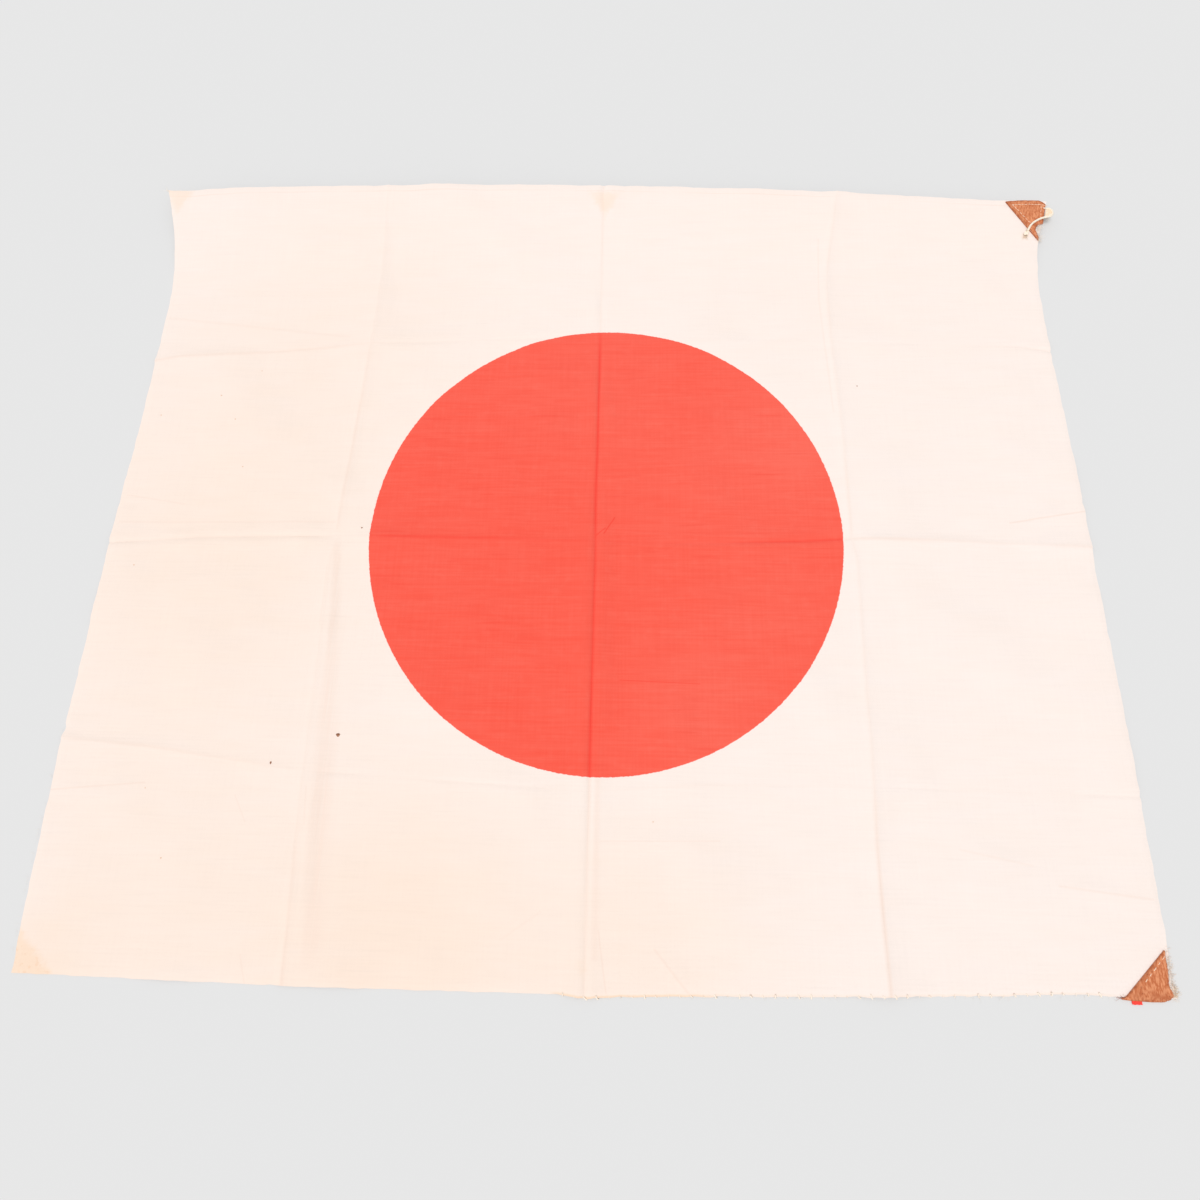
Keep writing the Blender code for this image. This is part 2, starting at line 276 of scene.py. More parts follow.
# %% The folds' heights
AWAY_FOLD_HEIGHTS = {
    1: ((0, 1.8), (0.6, 1.5), (0.9, 1.0), (1.9, 1.0), (2, 0.6), (2.1, 1.8), (3, 1.5), (4, 1.4)),
    2: ((0, -0.8), (0.7, -1.0), (1, -1.4), (2, -1.4), (3, -1.1), (3.3, -0.8), (4, -1.2)),
    3: ((0, 2.2), (1, 1.6), (1.9, 1.7), (2, 0.7), (2.1, 1.7), (3, 1.8), (3.5, 2.0), (4, 1.6)),
}
ACROSS_FOLD_HEIGHTS = {
    1: ((0, 1.4), (0.5, 1.4), (0.9, 0.8), (1, 0), (1.1, -0.5), (1.9, -0.4), (2, 0), (2.1, 0.4), (2.9, 0.5),
        (3, 0), (3.1, -0.3), (4, -0.6)),
    2: ((0, -1.0), (0.5, -1.2), (0.9, -1.5), (1, 0), (1.1, 1.0), (1.9, 0.9), (2, 0), (2.1, -0.5), (2.6, -0.6),
        (2.9, -0.9), (3, 0), (3.1, 2.4), (3.4, 1.9), (3.7, 1.5), (4, 2.0)),
    3: ((0, 1.8), (0.5, 1.3), (0.9, 0.9), (1, 0), (1.1, -0.5), (1.9, -0.5), (2, 0), (2.1, 0.5), (2.9, 0.6),
        (3, 0), (3.1, -0.2), (3.6, -0.3), (4, -1.1)),
}
FOLD_REACH = 0.1
FOLD_SHOULDER = 0.034
CREASE_SHOULDER = 0.02
FOLD_SHARPNESS = 1.6
RIDGE_FOOT = 0.45
PANEL_SWELLS = ((0, 1, 1.6), (0, 2, 1.2), (1, 3, 1.0), (2, 0, 1.4), (2, 2, 0.8), (3, 1, 1.2), (3, 3, 0.8))
LIFT_START = 242.5
LIFT_STRAIGHT = 282.5
LIFT_SLOPE = 0.09
SWELL_REACH = 0.4


def smooth(share):
    share = np.clip(share, 0, 1)
    return share * share * (3 - 2 * share)


def fold_height(offset, strength):
    """Height beside a fold: a ridge with a sharp top, or a crease between two shoulders."""
    offset = np.abs(offset)
    outer = smooth((FOLD_REACH - offset) / (FOLD_REACH - FOLD_SHOULDER * 0.6))
    inner = np.clip(1 - offset / FOLD_SHOULDER, 0, 1) ** FOLD_SHARPNESS
    ridge = strength * (RIDGE_FOOT * outer + (1 - RIDGE_FOOT) * inner)
    valley = np.clip(1 - offset / CREASE_SHOULDER, 0, 1) ** FOLD_SHARPNESS
    crease = -strength * np.clip(outer - valley, 0, 1)
    return np.where(strength > 0, ridge, crease)


def lift(y):
    """Height of the strip along the far edge, which rises off the floor."""
    bend = LIFT_STRAIGHT - LIFT_START
    rise = np.clip(y - LIFT_START, 0, bend) ** 2 / (2 * bend)
    return LIFT_SLOPE * (rise + np.clip(y - LIFT_STRAIGHT, 0, None))


def swell(s, t):
    """Height of the panels' low middles."""
    total = np.zeros_like(s)
    for column, row, height in PANEL_SWELLS:
        along_s = smooth(1 - np.abs(s - column - 0.5) / SWELL_REACH)
        total += height * along_s * smooth(1 - np.abs(t - row - 0.5) / SWELL_REACH)
    return total


# %% [markdown]
# Between the folds lie short creases from how the cloth was handled, and puckers where the near hem was
# sewn too tightly. Each is one long low bump with a direction. The widest are in the solids too.

# %% Short creases and puckers
SHORT_CREASES = (
    ((-416, -234), (-343, -226), 8, 2.2),
    ((6, -259), (104, -255), 7, 1.6),
    ((348, 1), (417, 16), 8, 2.0),
    ((349, -281.5), (414, -289), 8, 2.0),
    ((281, -258), (332, -268), 7, 1.6),
    ((52, -327), (84, -360), 7, 1.6),
    ((-64, -357), (-51, -344), 5, 0.9),
    ((-56, -314), (-32, -301), 5, 0.9),
    ((-392, 60), (-330, 40), 6, 0.5),
    ((-380, -60), (-300, -52), 6, 0.5),
    ((-160, -262), (-60, -270), 7, 0.5),
    ((-196, -238), (-150, -246), 6, 0.5),
    ((250, 60), (330, 66), 7, 0.5),
    ((260, -118), (380, -126), 8, 0.6),
    ((120, 262), (190, 268), 7, 0.5),
    ((-150, 262), (-60, 258), 7, 0.5),
    ((300, 118), (390, 108), 7, 0.5),
    ((13, -7), (21, 5), 2.2, 0.8),
    ((8, -2), (14, -9), 2.2, -0.6),
    ((-212, -170), (-202.8, -345), 4.5, 1.5),
    ((-219, -10), (-209, -170), 4.0, 1.3),
)
PUCKER_PLACES = (240, 268, 297, 326, 352)
PUCKER_SLANT = 3
PUCKER_LENGTH = 24
PUCKER_HALF_WIDTH = 7
PUCKER_HEIGHT = 1.8


def long_bump(x, y, start, end, half_width, height):
    """A long low bump from start to end, with its highest point in the middle."""
    start, end = np.array(start, float), np.array(end, float)
    middle, half_length = (start + end) / 2, np.linalg.norm(end - start) / 2
    direction = (end - start) / (2 * half_length)
    way = (x - middle[0]) * direction[0] + (y - middle[1]) * direction[1]
    side = (y - middle[1]) * direction[0] - (x - middle[0]) * direction[1]
    section = np.clip(1 - np.abs(side) / half_width, 0, 1) ** 1.5
    return height * smooth(1 - np.abs(way) / half_length) * section


def puckers(x, y, edge_y):
    total = np.zeros_like(x)
    for place in PUCKER_PLACES:
        start = (place - PUCKER_SLANT, edge_y(place) - PUCKER_LENGTH)
        end = (place + PUCKER_SLANT, edge_y(place) + PUCKER_LENGTH)
        total += long_bump(x, y, start, end, PUCKER_HALF_WIDTH, PUCKER_HEIGHT)
    return total


def near_edge_y(x):
    """The near edge's place at a distance along it."""
    share = (x - RIGHT_FOLD[0][1]) / (RIGHT_EDGE[0][1] - RIGHT_FOLD[0][1])
    return float(along(NEAR_EDGE, np.array([PANELS - 1 + share]))[0])


# %% [markdown]
# The cloth never lies quite flat between its folds. A sum of slow waves in mixed directions gives that
# unevenness. The waves are under a millimetre high, and whatever would sink below the floor is cut off,
# so the cloth touches the floor in flat patches, as real cloth does.

# %% Slow waves in the cloth
WAVE_COUNT = 26
WAVE_LENGTHS = (38.0, 170.0)
WAVE_HEIGHT = 0.62
waves = np.random.default_rng(11)
wave_turns = waves.uniform(0, 2 * math.pi, WAVE_COUNT)
wave_lengths = waves.uniform(*WAVE_LENGTHS, WAVE_COUNT)
wave_starts = waves.uniform(0, 2 * math.pi, WAVE_COUNT)


def slow_waves(x, y):
    total = np.zeros_like(x)
    for turn, length, start in zip(wave_turns, wave_lengths, wave_starts):
        way = x * math.cos(turn) + y * math.sin(turn)
        total += length * np.sin(2 * math.pi * way / length + start)
    return WAVE_HEIGHT * total / (wave_lengths.mean() * math.sqrt(WAVE_COUNT / 2))


# %% [markdown]
# The grid's lines are close together at the folds and at the edges, and farther apart in the middle of
# a panel. That puts the points where the cloth bends, and keeps the piece under 200,000 triangles.

# %% The cloth's grid
FINE_OFFSETS = (0, 1.1, 2.4, 4.2, 6.8, 10, 14, 19)
COARSE_STEP = 5.8
COLUMN_WIDTH = 210.0
ROW_HEIGHTS = (150.0, 195.0, 200.0, 178.0)
HEM_WIDTH = 3.0
HEM_HEIGHT = 0.35


def panel_places(width):
    """Places inside one panel, as shares of its width."""
    inner = np.linspace(FINE_OFFSETS[-1], width - FINE_OFFSETS[-1],
                        round((width - 2 * FINE_OFFSETS[-1]) / COARSE_STEP) + 1)
    from_end = [width - offset for offset in FINE_OFFSETS[-2:0:-1]]
    return np.array([*FINE_OFFSETS[:-1], *inner, *from_end]) / width


def all_places(widths):
    inside = [panel + panel_places(width) for panel, width in enumerate(widths)]
    return np.append(np.concatenate(inside), PANELS)


column_places = all_places([COLUMN_WIDTH] * PANELS)
row_places = all_places(ROW_HEIGHTS)
columns, rows = len(column_places), len(row_places)
S, T = (grid.ravel() for grid in np.meshgrid(column_places, row_places))
X, Y = on_plan(S, T)
print("cloth grid", columns, "by", rows)

# %% [markdown]
# The edges are not straight lines. The near hem is drawn up into small scallops by its sewing, both side
# edges have small nicks, and every edge wanders a little. Only the outer few millimetres are moved.

# %% Worn edges
EDGE_REACH = 9.0
SCALLOP_PITCH = 8.6
SCALLOP_DEPTH = 0.5
SCALLOP_ENDS = (1.92, 0.05, 3.78, 0.05)
WANDER_LENGTHS = (9.0, 14.0, 23.0, 41.0)
WANDER_OF_HEMS, WANDER_OF_SIDES = 0.22, 0.25
LEFT_NICKS = ((-318, 1.6, 3.0), (-327, 1.2, 2.2), (-180, 1.3, 5.0), (-338, 1.2, 2.5), (-300, 0.8, 3.0))
RIGHT_NICKS = ((22, 1.0, 6.0), (-318, 0.5, 3.0), (-337, 1.3, 14), (-343, 0.9, 2.6), (-331.5, 0.7, 3.2),
               (-349.5, 1.0, 2.6))


def edge_share(distance):
    """1 at an edge, 0 a little inside it."""
    return np.clip(1 - distance / EDGE_REACH, 0, 1) ** 1.5


def between(value, start, rise, end, fall):
    """1 between a start and an end, 0 beyond them, smooth at both."""
    return smooth((value - start) / rise) * smooth((end - value) / fall)


def wander(place, seed, size):
    """A small, uneven move along an edge."""
    source = np.random.default_rng(seed)
    total = np.zeros_like(place)
    for length in WANDER_LENGTHS:
        total += np.sin(2 * math.pi * place / length + source.uniform(0, 2 * math.pi)) * length ** 0.4
    return size * total / 6


from_left, from_right = S * COLUMN_WIDTH, (PANELS - S) * COLUMN_WIDTH
from_near = T * ROW_HEIGHTS[0]
from_far = (PANELS - T) * ROW_HEIGHTS[-1]
scallops = between(S, *SCALLOP_ENDS) * SCALLOP_DEPTH * np.abs(np.sin(math.pi * X / SCALLOP_PITCH))
Y = Y + edge_share(from_near) * (scallops + wander(X, 3, WANDER_OF_HEMS))
Y = Y + edge_share(from_far) * wander(X, 5, WANDER_OF_HEMS)
left_wander, right_wander = wander(Y, 8, WANDER_OF_SIDES), wander(Y, 9, WANDER_OF_SIDES)
X = X + edge_share(from_left) * left_wander + edge_share(from_right) * right_wander
for distance, inward, nicks in ((from_left, 1, LEFT_NICKS), (from_right, -1, RIGHT_NICKS)):
    for place, depth, half_width in nicks:
        X = X + inward * edge_share(distance) * depth * np.clip(1 - np.abs(Y - place) / half_width, 0, 1)

# %% [markdown]
# Now all heights are added up. The cloth's underside is the modelled surface, and Solidify gives it its
# thickness upwards. A vertex group thins it towards the edges, so that they look like one layer of cotton
# and not like card. Two narrow strips along the far and near edges are the rolled hems.

# %% Height of every point
LEVEL_NEAR_LEATHER = ((405.0, -343.0, 34.0), (424.0, 322.0, 34.0))
LEVEL_FADE = 14.0
WAVES_CUT_AT = 0.12
CLOTH_THICKNESS = 1.0
EDGE_THICKNESS = 0.45
THINNING_REACH = 4.0
HEM_FADE = 1.2

fold_part = np.zeros_like(X)
for folds, across, way in ((AWAY_FOLD_HEIGHTS, S, T), (ACROSS_FOLD_HEIGHTS, T, S)):
    for fold, strengths in folds.items():
        fold_part += fold_height(across - fold, along(strengths, way))
creases = sum(long_bump(X, Y, *crease) for crease in SHORT_CREASES) + puckers(X, Y, near_edge_y)
quiet = np.ones_like(X)
for centre_x, centre_y, radius in LEVEL_NEAR_LEATHER:
    quiet *= smooth((np.hypot(X - centre_x, Y - centre_y) - radius) / LEVEL_FADE)
uneven = slow_waves(X, Y) * quiet
underside = np.maximum(fold_part + swell(S, T) + creases + uneven - WAVES_CUT_AT * quiet, 0) + lift(Y)
hem_edge = np.minimum(from_near, from_far)
hem = HEM_HEIGHT * smooth((HEM_WIDTH - hem_edge) / HEM_FADE) * quiet
edge_distance = np.minimum.reduce([from_left, from_right, from_near, from_far])
thin = EDGE_THICKNESS + (1 - EDGE_THICKNESS) * smooth(edge_distance / THINNING_REACH)
thin = np.maximum(thin, 1 - quiet)
print("cloth rises to", round(float((underside + hem).max()), 1), "mm")

# %% [markdown]
# Dirt, dye, stains and painted shade along the folds are painted by numbers kept on the points. Each is a
# plain field: how dark a fold is, how far inside a stain a point lies. The shader turns them into soft or
# ragged marks, so they follow the cloth and need no picture.

# %% Marks on the cloth
FOLD_LINE_WIDTH = 1.25
ROW_HEIGHT = 190.0
# How dark each fold's line is painted along the fold: crease shade, with some dirt.
AWAY_FOLD_DARKNESS = {
    1: ((0, 0.9), (0.3, 0.6), (0.6, 0.6), (0.75, 0.25), (1.0, 0.2), (1.5, 0.15), (1.93, 0.25), (1.96, 0.05),
        (2.02, 0.05), (2.06, 0.6), (2.6, 0.75), (2.8, 0.5), (3.1, 0.2), (3.35, 0.15), (4, 0.1)),
    2: ((0, 0.4), (0.7, 0.6), (0.9, 0.9), (1.3, 1.0), (1.6, 0.7), (1.9, 0.7), (2.0, 0.6), (2.1, 1.0),
        (2.9, 1.0), (3, 0.5), (3.3, 0.35), (3.6, 0.5), (4, 0.5)),
    3: ((0, 1.0), (0.2, 1.0), (0.4, 1.2), (0.6, 0.9), (0.8, 0.7), (1.1, 0.35), (1.9, 0.3), (2, 0.3),
        (2.05, 0.55), (2.3, 0.5), (2.5, 0.25), (2.9, 0.25), (3.2, 0.4), (3.4, 0.15), (3.5, 0.4),
        (3.9, 0.25), (4, 0.1)),
}
ACROSS_FOLD_DARKNESS = {
    1: ((0, 0.25), (0.3, 0.55), (0.6, 0.35), (0.9, 0.2), (1, 0.1), (2, 0.1), (2.5, 0.2), (3, 0.1),
        (4, 0.1)),
    2: ((0, 0.3), (0.8, 0.3), (1, 0.1), (1.1, 0.1), (1.2, 0.65), (1.7, 0.4), (2, 0.15), (2.5, 0.15),
        (2.7, 0.6), (3, 0.6), (3.2, 0.7), (3.4, 0.4), (3.75, 0.25), (4, 0.5)),
    3: ((0, 0.6), (0.5, 0.6), (0.7, 0.6), (0.9, 0.4), (1, 0.35), (1.1, 0.1), (3, 0.05), (3.6, 0.05),
        (3.8, 0.2), (4, 0.3)),
}
YELLOWED_PLACES = ((-300, 60, 190, 0.40), (-330, -90, 150, 0.38), (-330, -330, 120, 0.5),
                   (-130, -330, 110, 0.82), (50, -335, 90, 0.50), (-230, 250, 150, 0.22),
                   (200, 340, 200, 0.1), (-395, -350, 38, 0.40))
FADED_PLACES = ((186, 81, 70, 0.9), (92, -152, 60, 0.75), (160, -70, 50, 0.4), (10, 120, 80, 0.35),
                (95, 10, 60, 0.3))
# A band of painted shade, with some dirt, on the shaded side of the left fold's ridge.
SHADE_AND_DIRT_BAND = ((-217.2, -21), (-212.2, -79), (-205.4, -186), (-203.6, -224), (-199.5, -278), (-195.6, -330))
SHADE_AND_DIRT_BAND_WIDTHS = (3.0, 4.0, 7.5, 8.5, 8.0, 7.0)
SHADE_AND_DIRT_BAND_ENDS = (-356, 24, -14, 10)
SEWN_ENDS = (-20, 8, 382, 12)
SEWN_DARK_TO = 104
SEWN_PALE = 0.3


def fold_marks():
    """How dark each fold's own line is painted: crease shade, with some dirt."""
    total = np.zeros_like(X)
    for folds, across, way, width in ((AWAY_FOLD_DARKNESS, S, T, COLUMN_WIDTH),
                                      (ACROSS_FOLD_DARKNESS, T, S, ROW_HEIGHT)):
        for fold, strengths in folds.items():
            distance = (across - fold) * width
            total = np.maximum(total, along(strengths, way) * np.exp(-(distance / FOLD_LINE_WIDTH) ** 2))
    return total


def dirt_band():
    """The band of painted shade beside the left fold, in the near half: the ridge's shaded side, with some
    dirt.
    """
    xs, ys = np.array(SHADE_AND_DIRT_BAND[::-1]).T
    middle, width = np.interp(Y, ys, xs), np.interp(Y, ys, SHADE_AND_DIRT_BAND_WIDTHS[::-1])
    return between(Y, *SHADE_AND_DIRT_BAND_ENDS) * np.exp(-((X - middle) / width) ** 4)


def soft_places(places):
    """A sum of soft round spots, kept between 0 and 1."""
    total = np.zeros_like(X)
    for x, y, radius, strength in places:
        total += strength * np.exp(-((X - x) ** 2 + (Y - y) ** 2) / radius ** 2)
    return np.clip(total, 0, 1)


def inside_triangle(*corners):
    """How far inside a triangle each point lies, in mm, and below 0 outside it."""
    corners = [np.array(corner, float) for corner in corners]
    middle = sum(corners) / 3
    distances = []
    for first, second in zip(corners, corners[1:] + corners[:1]):
        way = (second - first) / np.linalg.norm(second - first)
        normal = np.array((-way[1], way[0]))
        if normal @ (middle - first) < 0:
            normal = -normal
        distances.append((X - first[0]) * normal[0] + (Y - first[1]) * normal[1])
    return np.minimum.reduce(distances)


NEAR_LEFT_STAIN = ((-428, -319), (-380, -362.7), (-428, -372))
FAR_LEFT_STAIN = ((-446, 366), (-409, 362), (-425, 333))
FAR_MIDDLE_STAIN = ((-10, 354), (25, 353), (9, 324))
NEAR_MIDDLE_STAIN = ((-1, -340), (6, -340), (3, -350))
STAIN_DEPTH = 20.0
FAINT_STAINS = (FAR_LEFT_STAIN, FAR_MIDDLE_STAIN, NEAR_MIDDLE_STAIN)


def stain_note(stains):
    """Depth inside the nearest of some stains, with a margin outside them."""
    depth = np.maximum.reduce([inside_triangle(*corners) for corners in stains])
    return np.clip(depth + STAIN_DEPTH, 0, 2 * STAIN_DEPTH)


far_side = np.where(from_far < from_near, 1.0, 0.0)
sewn = between(X, *SEWN_ENDS) * (SEWN_PALE + (1 - SEWN_PALE) * smooth((SEWN_DARK_TO - X) / 24))
notes = {
    # The first two notes are painted crease shade and a painted shade band, each with some dirt.
    "fold_line": fold_marks(),
    "dirt_band": dirt_band(),
    "yellowed": soft_places(YELLOWED_PLACES),
    "faded": soft_places(FADED_PLACES),
    "leather_stain": stain_note([NEAR_LEFT_STAIN]),
    "faint_stain": stain_note(FAINT_STAINS),
    "from_hem": np.clip(hem_edge, 0, STAIN_DEPTH),
    "far_side": far_side,
    "sewn_side": sewn * (1 - far_side),
}

# %% [markdown]
# The cotton's finish starts with a warm white. Fine thread streaks run across it, as in any hand-loomed
# cloth. The disc is a circle of red dye in the same threads. It has faded in long streaks and worn spots,
# and its rim is a little uneven where the dye crept. Lines thinner than the grid, such as pulled threads
# and sharp small creases, are worked out in the shader from the distance to a short straight run. The
# creases' lines and the folds' own lines darken the cloth as painted crease shade, with some dirt.

# %% Cotton finish
DISC_CENTRE = (13.0 * MM, -8.3 * MM, 0.0)
DISC_RADIUS = 202.7 * MM
WHITE_COTTON = (0.915, 0.816, 0.768, 1)
AGED_COTTON = (0.912, 0.750, 0.640, 1)
RED_DYE = (0.905, 0.092, 0.056, 1)
FADED_RED = (0.905, 0.136, 0.092, 1)
DEEP_RED = (0.870, 0.046, 0.028, 1)
STAIN_TAN = (0.900, 0.660, 0.470, 1)
DULL_COTTON = (0.860, 0.660, 0.560, 1)
BLOT_BROWN = (0.82, 0.50, 0.30, 1)
HEM_LINE_PLACE = 6.5
RIM_BLUR = 0.35 * MM
THREAD_TURNS = 2 * math.pi / (0.55 * MM)
# Thin dark lines of painted crease shade, and pulled threads: start, end, half width in mm, strength.
THIN_LINES = (
    ((11.3, -212.5), (11.2, -270.0), 4.0, 0.55), ((11.2, -270.0), (11.6, -336.0), 4.5, 0.45),
    ((13.8, -318.5), (20.0, -359.0), 1.1, 0.7), ((216.5, 297.5), (213.0, 229.5), 1.6, 0.4),
    ((213.0, 229.5), (217.0, 110.0), 1.6, 0.35), ((-413.9, -0.9), (-222.0, 0.3), 1.8, 0.45),
    ((-412.3, 212.5), (-232.5, 190.2), 2.6, 0.3), ((-223.5, -39.3), (-222.4, -92.0), 1.4, 0.3),
    ((-412.7, 25.1), (-359.1, 16.6), 1.4, 0.45), ((356.8, 3.1), (424.0, 14.5), 1.3, 0.8),
    ((14.0, -257.2), (104.1, -255.4), 0.7, 0.6), ((27.9, -135.0), (92.0, -137.3), 0.7, 0.6),
    ((-248.0, -340.9), (-241.0, -362.0), 1.1, 0.5), ((-427.0, -228.2), (-345.0, -221.0), 1.3, 0.6),
    ((-271.2, -229.1), (-259.9, -248.9), 0.9, 0.5), ((55.0, -330.4), (80.0, -359.5), 1.6, 0.6),
    ((-57.6, -326.5), (-29.2, -307.2), 1.6, 0.3), ((349.0, -281.5), (414.0, -289.0), 1.6, 0.45),
    ((281.0, -258.0), (332.0, -268.0), 1.6, 0.3), ((13.0, -9.0), (22.0, 6.0), 0.9, 0.9),
    ((6.0, -11.0), (14.0, -4.0), 0.9, 0.8), ((-215.6, -222.0), (-213.6, -250.0), 1.2, 0.4),
)


def thin_lines(recipe, flat_place):
    """How near a place is to one of the thin lines, from 0 to the line's own strength. The lines are painted
    crease shade and pulled threads.
    """
    found = 0.0
    for start, end, half_width, strength in THIN_LINES:
        start, end = Vector((*start, 0)) * MM, Vector((*end, 0)) * MM
        way = end - start
        gone = recipe.vector("SUBTRACT", flat_place, start)
        share = recipe.vector("DOT_PRODUCT", gone, way / way.length_squared)
        onto = recipe.scaled(way, recipe.maths("ADD", share, 0.0, clamp=True))
        line = recipe.fade(recipe.vector("DISTANCE", gone, onto), half_width * MM, 0.0)
        found = recipe.maths("MAXIMUM", found, recipe.times(line, strength))
    return found


def cotton_finish():
    recipe = Recipe("cotton", roughness=0.92, specular=0.12)
    place = recipe.place()
    split = recipe.add("ShaderNodeSeparateXYZ", {"Vector": place})
    flat_place = recipe.add("ShaderNodeCombineXYZ", {"X": split["X"], "Y": split["Y"], "Z": 0.0})["Vector"]
    mottle = recipe.streaks(place, (20.0, 72.0, 1.0), 6.0)
    weft = recipe.streaks(place, (26.0, 600.0, 1.0), 4.0)
    warp = recipe.streaks(place, (700.0, 16.0, 1.0), 2.0)
    long_streaks = recipe.streaks(place, (5.0, 230.0, 1.0), 3.0)
    worn_spots = recipe.noise(place, 130.0, 4.0)
    slub = recipe.fade(recipe.streaks(place, (16.0, 300.0, 1.0), 1.0), 0.62, 0.78)
    # The folds' lines and the thin lines are painted crease shade, with some dirt.
    pressed_fold = recipe.note("fold_line")
    fold_line = recipe.maths("MAXIMUM", pressed_fold, thin_lines(recipe, flat_place))

    uneven = recipe.times(recipe.note("faded"), 0.6)
    for pattern, low, high, depth in ((mottle, 0.38, 0.64, 0.14), (weft, 0.36, 0.66, 0.24),
                                      (warp, 0.36, 0.66, 0.12), (long_streaks, 0.36, 0.66, 0.16),
                                      (worn_spots, 0.50, 0.70, 0.16)):
        uneven = recipe.maths("MULTIPLY_ADD", recipe.fade(pattern, low, high), depth, uneven)
    red = recipe.mix(recipe.maths("MINIMUM", uneven, 1.0), RED_DYE, FADED_RED)
    red = recipe.tint(red, slub, 0.22, DEEP_RED)
    # Painted crease shade darkens the dye along the folds.
    red = recipe.tint(red, fold_line, 0.8, DEEP_RED)

    stain_edge = recipe.swing(recipe.noise(place, 160.0, 3.0), 9.0)
    stain_edge = recipe.maths("SUBTRACT", stain_edge, STAIN_DEPTH)
    strong = recipe.fade(recipe.maths("ADD", recipe.note("leather_stain"), stain_edge), -4.0, 3.5)
    faint = recipe.fade(recipe.maths("ADD", recipe.note("faint_stain"), stain_edge), -3.0, 5.0)
    blots = recipe.times(strong, recipe.fade(recipe.noise(place, 330.0, 2.0), 0.58, 0.70))
    from_hem = recipe.note("from_hem")
    from_line = recipe.maths("ABSOLUTE", recipe.maths("SUBTRACT", from_hem, HEM_LINE_PLACE))
    hem_line = recipe.times(recipe.fade(from_line, 1.1, 0.0), recipe.note("far_side"))
    hem_line = recipe.times(hem_line, recipe.fade(recipe.noise(place, 9.0, 3.0), 0.35, 0.60))
    # Painted shade on the shaded side of the left fold's ridge, with some dirt, broken by the warp streaks.
    band_shade_and_dirt = recipe.maths("MULTIPLY_ADD", recipe.fade(warp, 0.30, 0.62), 0.6, 0.4)
    band_shade_and_dirt = recipe.times(recipe.note("dirt_band"), band_shade_and_dirt)
    sewn = recipe.times(recipe.fade(from_hem, 2.2, 0.6), recipe.note("sewn_side"))
    aged = recipe.maths("ADD", recipe.note("yellowed"), 0.15)
    white = recipe.mix(recipe.maths("ADD", aged, recipe.swing(mottle, 0.35), clamp=True),
                       WHITE_COTTON, AGED_COTTON)
    # The painted crease shade and the painted shade band dull the white, as do the hem line, the sewing and
    # the stains.
    for where, depth, tint in ((fold_line, 0.5, DULL_COTTON), (band_shade_and_dirt, 0.34, DULL_COTTON),
                               (hem_line, 0.30, DULL_COTTON), (sewn, 0.75, STAIN_TAN),
                               (strong, 0.54, STAIN_TAN), (blots, 0.26, BLOT_BROWN),
                               (faint, 0.32, STAIN_TAN)):
        white = recipe.tint(white, where, depth, tint)

    bleed = recipe.swing(recipe.noise(place, 420.0, 2.0), 1.3 * MM)
    from_rim = recipe.maths("ADD", recipe.vector("DISTANCE", flat_place, DISC_CENTRE), bleed)
    disc = recipe.fade(from_rim, DISC_RADIUS + RIM_BLUR, DISC_RADIUS - RIM_BLUR)
    thread_tone = recipe.maths("ADD", recipe.swing(weft, 0.055), recipe.swing(warp, 0.03))
    thread_tone = recipe.maths("MULTIPLY_ADD", slub, -0.012, recipe.maths("ADD", thread_tone, 1.0))
    toned = recipe.scaled(recipe.mix(disc, white, red), thread_tone)

    across, away = (recipe.maths("SINE", recipe.times(split[axis], THREAD_TURNS)) for axis in "XY")
    normal = recipe.bump(recipe.times(across, away), 0.05 * MM, 0.6)
    normal = recipe.bump(weft, 0.16 * MM, 0.7, normal)
    normal = recipe.bump(warp, 0.08 * MM, 0.6, normal)
    normal = recipe.bump(recipe.maths("SUBTRACT", 1.0, pressed_fold), 0.30 * MM, 0.8, normal)
    recipe.shader["Sheen Weight"].default_value = 0.15
    recipe.shader["Sheen Roughness"].default_value = 0.6
    return recipe.finish(toned, normal)


cotton = cotton_finish()

# %% [markdown]
# The sheet is made from the grid of points, and its notes are stored as attributes. Solidify copies them
# to the upper side and the rim. The modifier is then applied, so the kept mesh is the one that is seen.


# %% The cloth
def evaluated_mesh(piece):
    """What the modifiers make of an object, as a plain mesh."""
    bpy.context.view_layer.update()
    graph = bpy.context.evaluated_depsgraph_get()
    return bpy.data.meshes.new_from_object(piece.evaluated_get(graph), preserve_all_data_layers=True,
                                           depsgraph=graph)


def plain_mesh(name, points, edges=(), faces=()):
    """A mesh from points in mm."""
    mesh = bpy.data.meshes.new(name)
    mesh.from_pydata((np.array(points) * MM).tolist(), edges, faces)
    return mesh


def store(mesh, name, values, kind="FLOAT"):
    """Keeps numbers on the points of a mesh."""
    field = "value" if kind == "FLOAT" else "vector"
    note = mesh.attributes.new(name, kind, "POINT")
    note.data.foreach_set(field, np.array(values, np.float32).ravel())


